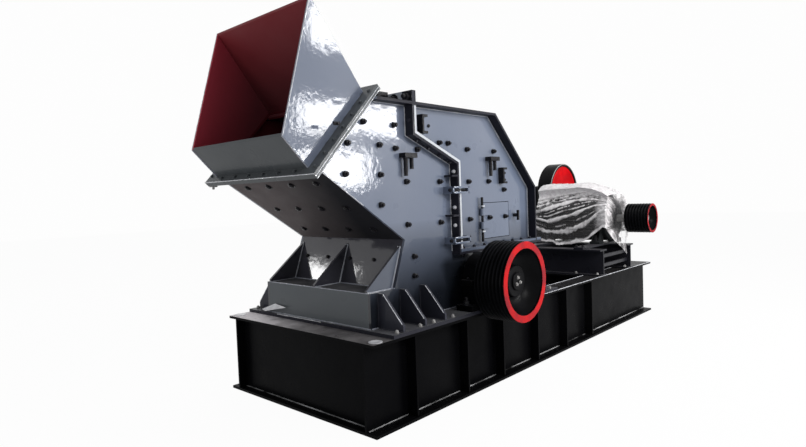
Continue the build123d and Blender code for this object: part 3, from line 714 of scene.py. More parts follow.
def inletSpots(low, high, thickness, edge, sideCount, acrossCount, reach, overrun):
    run, places, nuts, heads = inPlane(high) - inPlane(low), [], [], []
    length, out = run.length, sideways(run)
    run.normalize()
    for i in range(sideCount):
        step = (length + 2 * overrun) * i / (sideCount - 1) - overrun
        places += [(step, way * edge) for way in bothWays]
    for i in range(1, acrossCount - 1):
        y = edge * (2 * i / (acrossCount - 1) - 1)
        places += [(-reach, y), (length + reach, y)]
    for step, y in places:
        foot = inPlane(low, y) + run * step
        nuts.append((foot, -out, spin()))
        heads.append((foot + out * thickness, out, spin()))
    return nuts, heads


nuts, heads = inletSpots(**inletLook)
# the bolts share the feed flanges' painted shade
settled(joined(copied(flangeModel, nuts), copied(smallModel, heads)), "feedFlangeBolts", rootBody,
        shadePaint)

# split flange bolts: round the side strips, across the top and across the back; those on its
# upright run are pale, a painted highlight for the glints along it, and the others take the flange's dark
# painted shade
splitLook = {"path": [(-1.767, 2.160), (-1.767, 1.977), (-1.258, 1.776), (-1.258, 1.072),
                      (-0.080, 1.072)],
             "half": 0.020, "middle": 0.645, "pitch": 0.155, "pale": -1.258,
             "clamps": [(-1.258, 1.560), (-1.258, 1.167)], "clearance": 0.06,
             "top": (-1.767, 2.246), "back": (-0.036, 1.072), "count": 9, "end": 0.63}


def splitSpots(path, half, middle, pitch, pale, clamps, clearance, top, back, count, end):
    spots, paleSpots = [], []
    for (x0, z0), (x1, z1) in zip(path, path[1:]):
        run = Vector((x1 - x0, 0, z1 - z0))
        steps = max(1, round(run.length / pitch))
        chosen = paleSpots if x0 == x1 == pale else spots
        for i in range(steps):
            place = inPlane((x0, z0)) + run * ((i + 0.5) / steps)
            if any(abs(place.x - x) < clearance and abs(place.z - z) < clearance for x, z in clamps):
                continue
            for side in bothWays:
                for way in bothWays:
                    out = sideways(run) * way
                    chosen.append((place + out * half + Vector((0, side * middle, 0)), out, spin()))
    for i in range(count):
        y = end * (2 * i / (count - 1) - 1)
        for way in bothWays:
            for place, out in ((top, way * Vector(xWay)), (back, way * Vector(zWay))):
                spots.append((inPlane(place, y) + out * half, out, spin()))
    return spots, paleSpots


spots, paleSpots = splitSpots(**splitLook)
bolts("splitFlangeBolts", flangeModel, spots, footShadePaint)
bolts("splitSideBoltGlints", flangeModel, paleSpots, palePaint)

# split clamps: two flat bars over the flange edges, end plates and a long bolt between the bars
clampLook = {"half": 0.106, "bar": 0.015, "tall": 0.028, "inner": 0.6803,
             "outer": 0.6983, "plate": 0.016, "root": 0.600, "boltY": 0.670, "bolt": 0.012,
             "overhang": 0.006}


def clampAt(x, z, half, bar, tall, inner, outer, plate, root, boltY, bolt, overhang):
    bars = []
    for way in bothWays:
        low = z + (tall - bar if way > 0 else -tall)
        bars.append(slab((x - half, -outer, low), (x + half, -inner, low + bar)))
        start, end = sorted((x + way * half, x + way * (half - plate)))
        bars.append(slab((start, -outer, z - tall), (end, -root, z + tall)))
    reach = half + overhang
    studs = [rod((x - reach, -boltY, z), (x + reach, -boltY, z), bolt, 16)]
    for way in bothWays:
        studs.append(copied(flangeModel, [((x + way * half, -boltY, z), (way, 0, 0), spin())]))
    return bars, studs


bars, studs = zip(*[clampAt(*place, **clampLook) for place in splitLook["clamps"]])
settled(paired(bevelled(joined(*bars[0], *bars[1]), 0.002)), "splitClampBars", rootBody,
        greyPaint, ("split_clamps",))
settled(paired(joined(*studs[0], *studs[1])), "splitClampStuds", rootBody, boltPaint)

# hold-down bolts of the foot flange, the motor beams and the rails
footX = (-2.165, -1.930, -1.785, -1.560, -0.520, -0.310, -0.090)
holdLook = {"foot": [(x, y, 0.625) for x in footX for y in (-0.806, 0.806)],
            "beam": [(x + step, side * y, 0.616) for x in (1.041, 1.785) for y in (0.79, 0.55)
                     for side in bothWays for step in (-0.055, 0.055)],
            "rail": [(x, y + step, 0.904) for x in (1.000, 1.900, 1.980) for y in (-0.59, 0.01)
                     for step in (-0.035, 0.035)]}
bolts("footFlangeBolts", flangeModel, upright(holdLook["foot"]), steelPaint)
bolts("motorBeamBolts", flangeModel, upright(holdLook["beam"]), steelPaint)
bolts("motorFrameBolts", flangeModel, upright(holdLook["rail"]))

# eye covers on the base's top flange
coverLook = {"foot": (-2.350, -0.788, 0.600), "top": (-2.350, -0.788, 0.605), "radius": 0.046,
             "rim": 0.012, "dip": 0.002}
cover = insetTop(rod(coverLook["foot"], coverLook["top"], coverLook["radius"], 32),
                 coverLook["rim"], -coverLook["dip"])
settled(paired(bevelled(cover, 0.001)), "baseEyeCovers", rootBody, palePaint)

# small fittings: a clip on the feed flange's near side, a bracket at its far end, nuts on the
# split's top bar, and a pale packing strip left leaning against the front plate
print("fittings")
fittings = [("flangeClip", ((-2.5097, -0.664, 1.9865), (-2.4617, -0.648, 2.0085)),
             ((-2.4857, -0.664, 1.9965), (-2.4857, -0.676, 1.9965), 0.008, 12), 0.002, boltPaint),
            ("flangeBracket", ((-2.647, 0.600, 1.648), (-2.603, 0.649, 1.688)),
             ((-2.625, 0.625, 1.650), (-2.625, 0.625, 1.630), 0.009, 12), 0.003, steelPaint)]
fitLook = {"stripThick": 0.003,
           "strip": [((-0.5, 0.5), (-2.2045, 0.690, 0.632)), ((-0.5, -0.5), (-2.2290, 0.610, 0.630)),
                     ((0.5, -0.5), (-2.2290, 0.330, 0.686)), ((0.5, 0.5), (-2.2045, 0.500, 0.696))],
           "topNuts": [(-1.787, -0.505, 2.232), (-1.787, -0.640, 2.236)]}
for name, box, pin, edge, paint in fittings:
    settled(bevelled(joined(slab(*box), rod(*pin)), edge), name, rootBody, paint)
bolts("splitTopNuts", largeModel, [(place, (-1, 0, 0), spin()) for place in fitLook["topNuts"]])
strip = slab((-0.5, -0.5, 0), (0.5, 0.5, fitLook["stripThick"]))
for (x, y), place in fitLook["strip"]:      # each corner of the slab goes to its own place
    editEdges(strip, lambda p, q: all(abs(end.x - x) + abs(end.y - y) < 0.001 for end in (p, q)))
    bpy.ops.transform.translate(value=Vector(place) - Vector((x, y, 0)))
    endEdit()
settled(strip, "packingStrip", rootBody, palePaint)


# welded seams: a six-sided bead with small ripples, along each run

print("welds")
beadLook = {"step": 0.014, "rough": 0.0016, "longest": 1.2, "most": 99}


def bead(start, end, radius, seed):
    start, end = Vector(start), Vector(end)
    count = max(1, math.ceil((end - start).length / beadLook["longest"]))
    parts = []
    for i in range(count):
        a, b = start.lerp(end, i / count), start.lerp(end, (i + 1) / count)
        length = (b - a).length
        run = rod(a, b, radius, 6)
        editEdges(run, lambda p, q: (p - q).length > length * 0.6)
        cuts = round(length / beadLook["step"])
        bpy.ops.mesh.subdivide(number_cuts=max(1, min(beadLook["most"], cuts)))
        selectAll()
        bpy.ops.transform.vertex_random(offset=beadLook["rough"], seed=seed + i)
        endEdit()
        parts.append(run)
    return joined(*parts)


def seams(name, runs, radius, paint=weldHighlightPaint):
    beads = [bead(start, end, radius, 3 * i) for i, (start, end) in enumerate(runs)]
    return settled(joined(*beads), name, rootBody, paint)


def bothSides(runs):
    return runs + [[(x, -y, z) for x, y, z in run] for run in runs]


def chained(places, y):     # runs from each (x, z) place to the next
    return [[(x0, y, z0), (x1, y, z1)] for (x0, z0), (x1, z1) in zip(places, places[1:])]


def acrossRun(x, y, z):
    return [(x, -y, z), (x, y, z)]


seamLook = {"baseX": 2.420, "webY": 0.748, "endWebX": 2.355, "webInnerY": 0.732, "low": 0.021,
            "stiffeners": (-2.004, -1.409, -0.913, -0.348, 0.203, 0.765), "gap": 0.02,
            "gussets": (-2.12, -1.895, -1.675, -0.42, -0.20), "frontGussets": (-0.56, 0.0, 0.56),
            "half": 0.010, "plate": 0.601, "root": (-0.602, 0.625), "top": (-0.602, 0.864),
            "sole": [(-0.602, 0.626), (-0.830, 0.626)],
            "frontRuns": [[(-1.955, 0.873), (-1.850, 1.165)], [(-2.195, 0.872), (-1.955, 0.872)]]}
edges = (-seamLook["baseX"],) + seamLook["stiffeners"] + (seamLook["baseX"],)
runs = [[(a + seamLook["gap"], -seamLook["webY"], seamLook["low"]),
         (b - seamLook["gap"], -seamLook["webY"], seamLook["low"])] for a, b in zip(edges, edges[1:])]
runs = bothSides(runs)
runs += [acrossRun(way * seamLook["endWebX"], seamLook["webInnerY"], seamLook["low"]) for way in bothWays]
seams("baseSeams", runs, 0.0055, blackWeldHighlightPaint)
runs = []
for x in seamLook["gussets"]:
    for edge in (x - seamLook["half"], x + seamLook["half"]):
        for places in ([seamLook["root"], seamLook["top"]], seamLook["sole"]):
            runs.append([(edge, *place) for place in places])
seams("gussetSeams", bothSides(runs), 0.005, gussetPaint)
plateRuns = [((-2.195, 0.626), (-0.080, 0.626)), ((-1.787, 2.170), (-1.787, 1.985)),
             ((-1.781, 1.963), (-1.279, 1.764)), ((-1.279, 1.755), (-1.279, 1.080)),
             ((-1.747, 2.170), (-1.747, 1.990)), ((-1.238, 1.770), (-1.238, 1.100)),
             ((-2.105, 2.178), (-1.790, 2.178)), ((-1.745, 2.178), (-0.730, 2.178)),
             ((-0.730, 2.176), (-0.102, 1.565)), ((-0.102, 1.560), (-0.102, 1.095)),
             ((-2.560, 1.725), (-2.130, 2.176))]
runs = bothSides([run for places in plateRuns for run in chained(places, -seamLook["plate"])])
for y in seamLook["frontGussets"]:
    for edge in (y - seamLook["half"], y + seamLook["half"]):
        runs += [run for places in seamLook["frontRuns"] for run in chained(places, edge)]
runs += [acrossRun(-2.201, 0.598, 0.626), acrossRun(-1.952, 0.598, 0.873)]
seams("housingSeams", runs, 0.0055)
# painted highlight: a thin pale bead along the ledge's top front edge
seams("ledgeEdge", [acrossRun(-2.200, 0.575, 0.8715)], 0.0035)

# hopper corners, and its foot on the hopper flange
hopperLook = {"seamY": 0.544, "corners": [(-2.822, 1.914), (-2.6389, 1.7267), (-2.1444, 2.2453),
                                          (-2.570, 2.795)]}
low, throat, upper, high = hopperLook["corners"]
runs = [run for places in ((low, throat), (high, upper), (throat, upper))
        for run in chained(places, -hopperLook["seamY"])]
seams("hopperSeams", bothSides(runs), 0.005)

# painted highlights: pale beads give the feed flanges, the split flange and the hopper's near rim thin
# bright lines
edgeLook = {"radius": 0.0032, "flangeY": 0.650, "inlet": [(-2.651, 1.655), (-2.074, 2.261)],
            "levels": (0.001, 0.020), "thickness": 0.040, "out": (-0.7241, 0.6897),
            "splitRoot": [(-1.789, 2.170), (-1.789, 1.964), (-1.280, 1.763), (-1.280, 1.092)],
            "base": ((-0.838, -0.35, 2.40), (-0.642, 0.05, 2.16)), "baseZ": 0.6005,
            "aside": 0.0105, "gusset": [(-0.822, 0.677), (-0.656, 0.863)],
            "single": [[(-2.590, -0.6015, 1.706), (-2.230, -0.6015, 1.474)],
                       [(-2.2305, 0.440, 0.6255), (-2.2305, -0.100, 0.6255)]]}


def lifted(place, level):       # a place on the inlet's edge, moved out by a level
    return [a + b * level for a, b in zip(place, edgeLook["out"])]


runs = []
for level in edgeLook["levels"]:
    runs += chained([lifted(place, level) for place in edgeLook["inlet"]], -edgeLook["flangeY"])
corner = lifted(edgeLook["inlet"][0], edgeLook["thickness"])
runs = bothSides(runs) + [acrossRun(corner[0], edgeLook["flangeY"], corner[1])]
for run in chained(edgeLook["splitRoot"], -0.603) + chained((low, high), -0.549):
    runs += bothSides([run])
for x in seamLook["gussets"]:
    runs += bothSides([[(x - edgeLook["aside"], *place) for place in edgeLook["gusset"]]])
runs += edgeLook["single"]
for y, start, end in edgeLook["base"]:
    runs += bothSides([[(x, y, edgeLook["baseZ"]) for x in (start, end)]])
seams("edgeHighlights", runs, edgeLook["radius"], edgeHighlightPaint)


# grooved pulleys, spun from their outlines

print("pulleys and wheels")


def grooves(radius, depth, width, count, flat):
    pitch = width / count
    points = [(radius, 0)]
    for i in range(count):
        middle = (i + 0.5) * pitch
        points += [(radius, middle - pitch / 2 + flat / 2), (radius - depth, middle - flat / 2),
                   (radius - depth, middle + flat / 2), (radius, middle + pitch / 2 - flat / 2)]
    return points + [(radius, width)]


def bowl(outer, hub, start, depth, bulge, steps=10):       # the dished web, from the hub out to the rim
    shares = [i / steps for i in range(steps + 1)]
    return [(outer + (hub - outer) * share, start + depth * math.sin(share * math.pi / 2) ** bulge)
            for share in reversed(shares)]


def redRing(name, look, body, paint):
    inner, outer, proud = look["bore"], look["radius"], look["ringProud"]
    outline = [(inner + 0.001, 0), (inner + 0.0015, -proud), (outer - 0.0015, -proud), (outer - 0.001, 0)]
    settled(turned(outline, look["centre"], 120, look["face"]), name, body, paint)


driveLook = {"centre": (-1.061, 0.840), "face": -1.130, "radius": 0.311, "width": 0.260, "count": 8,
             "depth": 0.020, "flat": 0.009, "bore": 0.256, "hub": 0.125, "hubDepth": 0.080,
             "shaft": 0.0755, "inset": 0.020, "ringProud": 0.0015}


def driveProfile(radius, width, count, depth, flat, bore, hub, hubDepth, shaft, inset, **rest):
    return grooves(radius, depth, width, count, flat) + [
        (bore, width), (bore - 0.004, 0.150), (0.150, 0.172), (hub, 0.180), (hub, width - inset),
        (shaft, width - inset), (shaft, hubDepth), (0.118, hubDepth), (hub, hubDepth + 0.006),
        (0.130, 0.128)] + bowl(bore - 0.004, 0.142, 0.020, 0.108, 0.8) + [(bore, 0.012), (bore, 0)]


face, centre = driveLook["face"], driveLook["centre"]
drive = turned(driveProfile(**driveLook), centre, 120, face)
settled(drive, "drivePulley", "rotor", wheelPaint, ("drive_pulley",))
redRing("drivePulleyRing", driveLook, "rotor", ringPaint)
cap = turned([(0.001, 0.066), (0.066, 0.066), (0.070, 0.070), (0.070, 0.0805), (0.001, 0.0805)],
             centre, 48, face)
settled(cap, "driveShaftCap", "rotor", wheelPaint)
bolts("driveShaftCapBolts", smallModel, roundSpots(centre, face + 0.066, 0.030, 3, 100), steelPaint,
      body="rotor")

motorWheel = {"centre": (1.686, 1.184), "face": -1.130, "radius": 0.163, "width": 0.260, "count": 8,
              "depth": 0.020, "flat": 0.009, "bore": 0.136, "hub": 0.078, "hubDepth": 0.055,
              "shaft": 0.0425, "inset": 0.020, "ringProud": 0.0015}


def motorProfile(radius, width, count, depth, flat, bore, hub, hubDepth, shaft, inset, **rest):
    return grooves(radius, depth, width, count, flat) + [
        (0.117, width), (0.117, 0.118), (hub, 0.110), (hub, width - inset), (shaft, width - inset),
        (shaft, hubDepth), (hub - 0.004, hubDepth), (hub, hubDepth + 0.004), (hub, 0.078),
        (0.100, 0.072), (0.120, 0.050), (bore, 0.012), (bore, 0)]


pulley = turned(motorProfile(**motorWheel), motorWheel["centre"], 96, motorWheel["face"])
settled(pulley, "motorPulley", "motor_rotor", wheelPaint, ("motor_pulley",))
redRing("motorPulleyRing", motorWheel, "motor_rotor", dullRingPaint)

# second wheel: black rim, a pale ring at its edge as a painted highlight, and a dished red face
wheelLook = {"centre": (2.304, 1.489), "face": 0.230, "radius": 0.391, "width": 0.190,
             "inner": 0.357, "hub": 0.080, "shaft": 0.0455}


def wheelProfiles(radius, width, inner, hub, shaft, **rest):
    rim = [(radius, 0.004), (radius, width - 0.004), (radius - 0.004, width), (inner, width),
           (inner, 0.002), (inner + 0.002, 0), (radius - 0.004, 0)]
    edge = [(radius - 0.012, -0.0015), (radius - 0.003, -0.0015), (radius - 0.002, 0.001),
            (radius - 0.012, 0.001)]
    dish = [(inner - 0.001, 0.014), (0.330, 0.030), (0.270, 0.040), (0.190, 0.040), (0.120, 0.034),
            (hub, 0.028), (hub - 0.003, 0.020), (shaft, 0.020), (shaft, 0.170), (hub, 0.170),
            (hub, 0.058), (0.330, 0.062), (inner - 0.001, 0.050)]
    return rim, edge, dish


for profile, steps, name, slot, paint, replaced in zip(
        wheelProfiles(**wheelLook), (120, 120, 96),
        ("secondWheelRim", "secondWheelEdgeHighlight", "secondWheelDish"),
        ("frame_black", "bare_steel", "wheel_red"), (wheelPaint, steelPaint, redPaint),
        (("second_wheel",), (), ())):
    wheel = turned(profile, wheelLook["centre"], steps, wheelLook["face"])
    settled(wheel, name, "rear_wheel", paint, replaced)

# bearing housings: cap bolts, a cover with screws round the shaft, split bars and a grease nipple
bearingLook = {"cx": -1.061, "cz": 0.840, "footX": (-1.325, -0.797), "footZ": 0.670, "middleY": -0.7625,
               "outline": [(0.080, -0.8365), (0.155, -0.8365), (0.162, -0.842), (0.162, -0.850),
                           (0.156, -0.856), (0.100, -0.856), (0.094, -0.864), (0.080, -0.864)],
               "screws": (-0.856, 0.130, 6, 30), "barX": (0.208, 0.262), "barY": (-0.820, -0.705),
               "half": 0.020, "capX": 0.237, "nipple": (0.213, 0.226, 0.238)}


def bearingFeet(footX, footZ, middleY, **rest):
    return [(x, way * middleY, footZ) for x in footX for way in (1, -1)]


def bearingCover(cx, cz, middleY, outline, screws, barX, barY, half, capX, nipple, **rest):
    cover = turned(outline, (cx, cz), 72)
    screwPiece = copied(smallModel, roundSpots((cx, cz), *screws))
    base, neck, tip = [(cx, middleY, cz + up) for up in nipple]
    nipplePiece = joined(rod(base, neck, 0.009, 6), rod(neck, tip, 0.005, 12))
    bars = []
    for start, end in ((-barX[1], -barX[0]), barX):
        bars.append(slab((cx + start, barY[0], cz - half), (cx + end, barY[1], cz + half)))
    splitBar = bevelled(joined(*bars), 0.005)
    capScrews = copied(flangeModel, upright([(cx + way * capX, middleY, cz + half) for way in bothWays]))
    return joined(cover, splitBar), joined(screwPiece, nipplePiece, capScrews)


bolts("bearingFootBolts", largeModel, upright(bearingFeet(**bearingLook)))
nearCover, nearScrews = bearingCover(**bearingLook)
for name, place in (("Near", lambda piece: piece), ("Far", mirroredCopy)):
    settled(place(nearCover), "bearingCover" + name, rootBody, blackPaint)
    settled(place(nearScrews), "bearingScrews" + name, rootBody, boltPaint)


# motor: ribbed casing, end shields, feet and terminal box

print("motor")
motorBody = {"radius": 0.226, "fins": 36, "finY": (-0.615, 0.020), "finTop": 0.262, "finRoot": 0.004,
             "finHalf": 0.0025, "feetY": (-0.59, 0.01), "footX": 0.254, "soleZ": 0.904,
             "footTop": 0.934, "boltX": 0.271, "webY": (-0.045, 0.033), "webThick": 0.014,
             "webZ": (0.930, 1.070), "webLean": 0.075, "webReach": (0.090, 0.045),
             "soleHalf": (0.055, 0.060), "eye": (-0.52, 0.283), "eyeRing": (0.020, 0.006),
             "boxRim": 0.004, "overhang": 1.06, "lid": 0.024,
             "box": ((-0.128, -0.168, 1.384), (0.128, 0.048, 1.512))}
mx, mz = motorCentre = (1.686, 1.184)


def motorFins(radius, fins, finY, finTop, finRoot, finHalf, **rest):
    fin = slab((mx - finHalf, finY[0], mz + radius - finRoot), (mx + finHalf, finY[1], mz + finTop))
    bevelled(fin, 0.0012, 1)
    copies = []
    for i in range(fins):
        turn = Matrix.Rotation(2 * math.pi * (i + 0.5) / fins, 4, "Y")
        copy = twin(fin)
        copy.matrix_world = Matrix.Translation((mx, 0, mz)) @ turn @ Matrix.Translation((-mx, 0, -mz))
        copies.append(copy)
    bpy.data.objects.remove(fin, do_unlink=True)
    bpy.context.view_layer.update()
    return applied(joined(*copies))


def motorFeet(feetY, footX, soleHalf, soleZ, footTop, webY, webThick, webZ, webLean, webReach, **rest):
    long, wide = soleHalf
    feet = []
    for y in feetY:
        for way in bothWays:
            x = mx + way * footX
            feet.append(slab((x - long, y - wide, soleZ), (x + long, y + wide, footTop)))
            start, end = sorted((x - way * webReach[0], x + way * webReach[1]))
            for step in webY:
                web = slab((start, y + step, webZ[0]), (end, y + step + webThick, webZ[1]))
                editEdges(web, lambda p, q: p.z > 1.05 and q.z > 1.05 and abs(p.x - q.x) < 0.001
                          and abs(p.x - mx) > 0.25)
                bpy.ops.transform.translate(value=(-way * webLean, 0, 0))
                endEdit()
                feet.append(web)
    return bevelled(joined(*feet), 0.004)


def terminalBox(box, boxRim, overhang, lid, **rest):
    low, high = [(mx + x, y, z) for x, y, z in box]
    piece = slab(low, high)
    startInset(piece, boxRim)
    bpy.ops.mesh.extrude_region_move(TRANSFORM_OT_translate={"value": (0, 0, boxRim)})
    bpy.ops.transform.resize(value=(overhang, overhang, 1))
    bpy.ops.mesh.extrude_region_move(TRANSFORM_OT_translate={"value": (0, 0, lid)})
    endEdit()
    return bevelled(piece, 0.006)


def liftingEye(eye, eyeRing, **rest):
    pickNone()
    bpy.ops.mesh.primitive_torus_add(major_radius=eyeRing[0], minor_radius=eyeRing[1], major_segments=24,
                                     minor_segments=10, location=(mx, eye[0], mz + eye[1]),
                                     rotation=turnTo(yWay).to_euler())
    return applied(bpy.context.object)


radius = motorBody["radius"]
casing = turned([(0.043, -0.740), (0.100, -0.740), (0.118, -0.736), (0.118, -0.706), (0.160, -0.700),
                 (0.240, -0.694), (0.264, -0.680), (0.266, -0.640), (0.244, -0.625), (radius, -0.615),
                 (radius, 0.015), (0.262, 0.022), (0.266, 0.030), (0.266, 0.108), (0.256, 0.120),
                 (0.120, 0.120), (0.120, 0.112), (0.043, 0.112)], motorCentre)
motorParts = [make(**motorBody) for make in (motorFins, motorFeet, terminalBox, liftingEye)]
settled(joined(casing, *motorParts), "motorCasing", rootBody, motorPaint, ("motor_body",))
bolts("motorFootBolts", largeModel, upright([(mx + way * motorBody["boltX"], y, motorBody["footTop"])
                                             for y in motorBody["feetY"] for way in bothWays]))


# plastic film, thrown over the motor, gathered round its shaft, with a tail behind the pulley

print("film")
filmLook = {"half": 0.307, "frontY": -0.722, "backY": 0.142, "neckY": -0.800, "frontFace": -0.752,
            "neckRadius": 0.056, "shoulder": 0.56, "farShoulder": 0.08, "columns": 400,
            "frontRows": 56, "backRows": 150, "crease": 0.013, "crumple": 0.007, "hemAngle": 122,
            "lean": 0.115, "leanZ": (1.27, 1.50), "roundness": (0.75, 0.62)}
frontY, backY, hemAngle = filmLook["frontY"], filmLook["backY"], filmLook["hemAngle"]
# lines of the feed side from the hem to the crown: share of the way down, and its (y, z) points
flankLines = [(1.00, [(frontY, 1.085), (-0.692, 1.095), (-0.582, 1.012), (-0.470, 0.940), (-0.386, 0.908),
                      (-0.271, 0.894), (-0.123, 0.886), (-0.060, 0.916), (0.090, 0.918), (backY, 0.930)]),
              (0.86, [(frontY, 1.290), (-0.656, 1.275), (-0.587, 1.215), (-0.475, 1.136), (-0.361, 1.082),
                      (-0.274, 1.047), (-0.142, 1.032), (0.008, 1.043), (0.115, 1.077), (backY, 1.090)]),
              (0.71, [(frontY, 1.345), (-0.671, 1.346), (-0.590, 1.345), (-0.479, 1.310), (-0.366, 1.262),
                      (-0.221, 1.216), (-0.101, 1.182), (-0.010, 1.160), (0.112, 1.195), (backY, 1.205)]),
              (0.56, [(frontY, 1.382), (-0.537, 1.405), (-0.426, 1.397), (-0.284, 1.378), (-0.152, 1.345),
                      (-0.031, 1.300), (0.111, 1.255), (backY, 1.252)]),
              (0.00, [(frontY, 1.462), (-0.660, 1.506), (-0.540, 1.556), (-0.400, 1.592), (-0.200, 1.592),
                      (0.090, 1.600), (backY, 1.592)])]
farHem = [(frontY, 1.020), (-0.500, 0.960), (-0.100, 0.925), (backY, 0.930)]
# the lower edge of the front, from the far hem by way of the tail to the near hem
lowerEdge = [(0.00, (1.993, frontY, 1.020)), (0.22, (1.840, -0.790, 1.000)), (0.40, (1.700, -0.850, 1.035)),
             (0.46, (1.675, -0.857, 0.988)), (0.52, (1.612, -0.858, 0.915)), (0.58, (1.632, -0.857, 0.768)),
             (0.70, (1.512, -0.850, 0.858)), (0.82, (1.436, -0.795, 0.941)), (0.92, (1.378, -0.745, 1.047)),
             (1.00, (1.379, frontY, 1.085))]
# long white creases of the feed side, whose white is a painted highlight along the folds: share of the way
# down, half width, strength, how broken
creases = [(0.995, 0.030, 1.0, 0.2), (0.86, 0.030, 0.95, 0.3), (0.795, 0.008, 0.5, 0.9),
           (0.71, 0.026, 1.0, 0.3), (0.645, 0.012, 0.8, 0.9), (0.60, 0.008, 0.7, 1.0),
           (0.55, 0.022, 0.9, 0.5), (0.505, 0.012, 0.8, 0.9), (0.46, 0.016, 0.8, 0.8),
           (0.42, 0.016, 0.9, 0.6)]


def eased(value, low, high):
    share = min(1, max(0, (value - low) / (high - low)))
    return share * share * (3 - 2 * share)


def between(table, place):      # a value or a point on a table of places, in straight runs
    for (a, first), (b, second) in zip(table, table[1:]):
        if place <= b or (b, second) == table[-1]:
            share = min(1, max(0, (place - a) / (b - a)))
            if isinstance(first, float):
                return first + (second - first) * share
            return Vector(first).lerp(Vector(second), share)


def wander(*place):
    return pattern.noise(Vector(place))


def ridged(value, sharp):       # 1 where the value passes through zero
    return 1 - abs(value) * sharp


def archPoint(y, down, side):       # the section over the motor, from the crown (0) to the hem (1)
    crown = between(flankLines[-1][1], y)
    shoulder, (bulge, corner) = filmLook["shoulder"], filmLook["roundness"]
    levels = [(place, between(line, y)) for place, line in reversed(flankLines)]
    if side > 0:
        levels = [(0.0, crown), (shoulder, mz + filmLook["farShoulder"]), (1.0, between(farHem, y))]
    if down >= shoulder:
        z = between(levels[1:], down)
    else:
        fall = 1 - math.cos(math.radians(90 * down / shoulder)) ** bulge
        z = crown + (levels[1][1] - crown) * fall
    lean = filmLook["lean"] * eased(z, *filmLook["leanZ"]) * eased(down, 0, 0.5)
    x = filmLook["half"] * math.sin(math.radians(90 * min(1, down / shoulder))) ** corner
    x = min(x, filmLook["half"] - lean)
    sag = 0.010 * wander(y * 9, side * 3.1, 0) + 0.005 * wander(y * 31, side, 4)
    return Vector((mx + side * x, y, z + sag * eased(down, 0.7, 1)))


def frontEdge(angle):           # where the front ends: at the section, or at its lower edge
    if abs(angle) <= hemAngle:
        return archPoint(frontY, abs(angle) / hemAngle, -1 if angle < 0 else 1)
    around = angle - hemAngle if angle > 0 else angle + 360 - hemAngle
    return between(lowerEdge, around / (360 - 2 * hemAngle))


def creaseHeight(down, y):      # the long folds of the feed side, 0 to 1
    total = 0
    for place, half, strength, broken in creases:
        drift = 0.012 * wander(y * 3.5, place * 9, 2) + 0.004 * wander(y * 16, place * 7, 3)
        wide = half * (1 + 0.9 * wander(y * 7, place * 11, 0) + 0.5 * wander(y * 26, place * 5, 1))
        offset = down - place - (0 if place > 0.99 else drift)
        ridge = max(0, ridged(offset, 1 / max(0.003, wide)))
        torn = wander(y * 8, place * 30, 5) + 0.6 * wander(y * 30, place * 17, 6)
        gap = 1 - broken * eased(torn, -0.05, 0.25)
        total = max(total, strength * gap * min(1, 1.6 * ridge))
    return total


def crumpled(point, scale, sharp):      # short bright wrinkles, 0 to 1
    x, y, z = point * scale
    first = ridged(wander(x, y * 0.5, z * 1.3), sharp)
    second = ridged(wander(x * 2.3, y * 1.4, z * 2.6 + 7), sharp)
    return max(0, first, 0.8 * second)


def frontWhite(angle, row, down):       # the gathered front: streaks that run out from the shaft
    streak = ridged(math.sin(math.radians(angle * 6.5) + 4 * wander(angle * 0.03, row * 1.5, 1)), 1)
    fine = ridged(math.sin(math.radians(angle * 19) + 5 * wander(angle * 0.05, row * 2.5, 9)), 1)
    bunch = max(0, 0.75 * streak ** 1.5 + 0.5 * fine ** 2)
    near = eased(-angle, 20, 60) if angle < 0 else 0.25
    gather = 0.2 * max(0, ridged(row - 0.42, 4)) * near
    haze = 0.12 if down > 1 else 0.05 + 0.40 * near * eased(row, 0.45, 0.85) + gather
    # painted shade: the gathered front is whitened less near the shaft, so it shows dark there
    shade = 0.10 + 0.90 * eased(row, 0.35, 0.95)
    if row < 0.75:
        bunch *= 0.45 + 0.9 * max(0, wander(angle * 0.07, row * 0.8, 5) + 0.35)
    return min(1, (haze + 0.85 * bunch) * shade), bunch


def whiteness(point, angle, row, down):     # how white the film is at a point, and how far it lifts
    if row < 1:
        return frontWhite(angle, row, down)
    if angle > 0:
        return 0.5 + 0.5 * crumpled(point, 12, 5), crumpled(point, 9, 5)
    crease = creaseHeight(down, point.y)
    wisps = crumpled(point, 16, 6) * eased(0.54 - down, -0.02, 0.06)
    # painted light: the crown is made whiter, as where light falls on the top
    top = eased(0.47 - down, 0, 0.07) * (0.74 + 0.26 * crumpled(point, 14, 4))
    front = eased(-point.y, 0.56, 0.70) * (0.55 + 0.45 * crumpled(point, 22, 4))
    front *= 0.85 * eased(1.02 - down, 0, 0.1)
    return min(1, max(crease, top, 0.04, 0.7 * wisps, front)), max(crease, 0.5 * wisps)


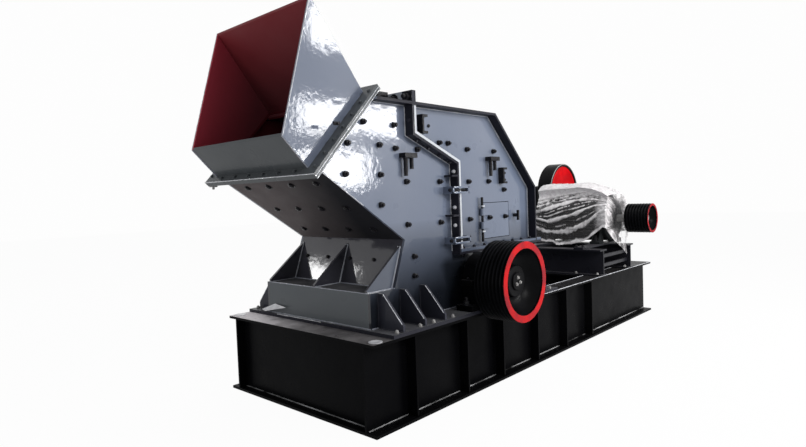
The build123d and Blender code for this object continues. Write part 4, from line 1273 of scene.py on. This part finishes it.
def filmPoint(angle, i):        # a point of the sheet, how white it is, or None below the hem
    turn, side = math.radians(angle), -1 if angle < 0 else 1
    down, neckY, face = abs(angle) / hemAngle, filmLook["neckY"], filmLook["frontFace"]
    row = i / filmLook["frontRows"]
    if row <= 1:
        neck = inPlane((mx, mz), neckY) + filmLook["neckRadius"] * inPlane((math.sin(turn), math.cos(turn)))
        edge = frontEdge(angle)
        point = neck.lerp(edge, row)
        if down <= 1:
            point.y = neckY + (face - neckY) * eased(row, 0, 0.35) + (edge.y - face) * eased(row, 0.5, 1)
        out = Vector((0.3 * math.sin(turn), -1, 0.3 * math.cos(turn)))
    elif down > 1:
        return None
    else:
        share = (i - filmLook["frontRows"]) / filmLook["backRows"]
        row = 1 + share
        point = archPoint(frontY + (backY - frontY) * share, down, side)
        flank = math.radians(min(90, 90 * down / filmLook["shoulder"]))
        out = inPlane((side * math.sin(flank), math.cos(flank)))
    white, lift = whiteness(point, angle, row, down)
    rough = wander(*(point * 9)) * 0.6 + 0.35 * wander(*(point * 24))
    calm = 0.3 if abs(point.z - 0.98) < 0.09 and down > 0.7 else 1
    loose = calm * (filmLook["crease"] * lift + filmLook["crumple"] * (rough + 0.4))
    if row <= 1:
        loose *= eased(row, 0, 0.15) * (0.35 if down > 1 else 1)
    return point + out.normalized() * loose, white


def filmMesh(columns, frontRows, backRows):
    points, whites, rows, faces = [], [], [], []
    for i in range(frontRows + backRows + 1):
        line = []
        for j in range(columns):
            found = filmPoint(-180 + 360 * (j + 0.5) / columns, i)
            line.append(len(points) if found else None)
            if found:
                points.append(found[0])
                whites.append(found[1])
        rows.append(line)
    for i, (upper, lower) in enumerate(zip(rows, rows[1:])):
        for j in range(columns):
            k = (j + 1) % columns
            corners = (upper[j], upper[k], lower[k], lower[j])
            if None not in corners and (i < frontRows or k > 0):
                faces.append(corners)
    mesh = bpy.data.meshes.new("motorFilm")
    mesh.from_pydata(points, [], faces)
    mesh.attributes.new("fold", "FLOAT", "POINT").data.foreach_set("value", whites)
    mesh.update()
    return mesh


sheetMesh = filmMesh(filmLook["columns"], filmLook["frontRows"], filmLook["backRows"])
film = bpy.data.objects.new("motorFilm", sheetMesh)
scene.collection.objects.link(film)
facedOut(film)
bpy.ops.object.shade_smooth()


def filmFinish(look):       # clear film, white along its folds and wherever it is crumpled
    finish, tree, shader, coords = newFinish(look["name"])
    fold = newNode(tree, "Attribute", attribute_name="fold").outputs["Fac"]
    crumple = noise(tree, coords, look["crumpleScale"], 8)
    speck = ranged(tree, noise(tree, coords, look["speckScale"], 5), 0.35, 0.65, 0.80, 1.15)
    colour = mixed(tree, ranged(tree, crumple, 0.35, 0.65), look["colour"], look["shadeColour"])
    alpha = ranged(tree, sums(tree, "MULTIPLY", fold, speck), 0.04, 0.75, *look["opacity"])
    for name, value in (("Base Color", colour), ("Alpha", alpha), ("Specular IOR Level", 0.4),
                        ("Roughness", ranged(tree, crumple, 0.35, 0.65, 0.20, 0.45)),
                        ("Normal", bumped(tree, crumple, look["bump"]))):
        feed(tree, shader.inputs[name], value)
    return finish


filmPaint = filmFinish({"name": "clear film", "colour": (0.93, 0.91, 0.91),
                        "shadeColour": (0.74, 0.70, 0.71), "speckScale": 70, "crumpleScale": 26,
                        "opacity": (0.06, 0.97), "bump": 0.006})
film.data.materials.append(filmPaint)
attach(film, rootBody)
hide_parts("film_cover")


for model in boltModels:
    bpy.data.objects.remove(model, do_unlink=True)
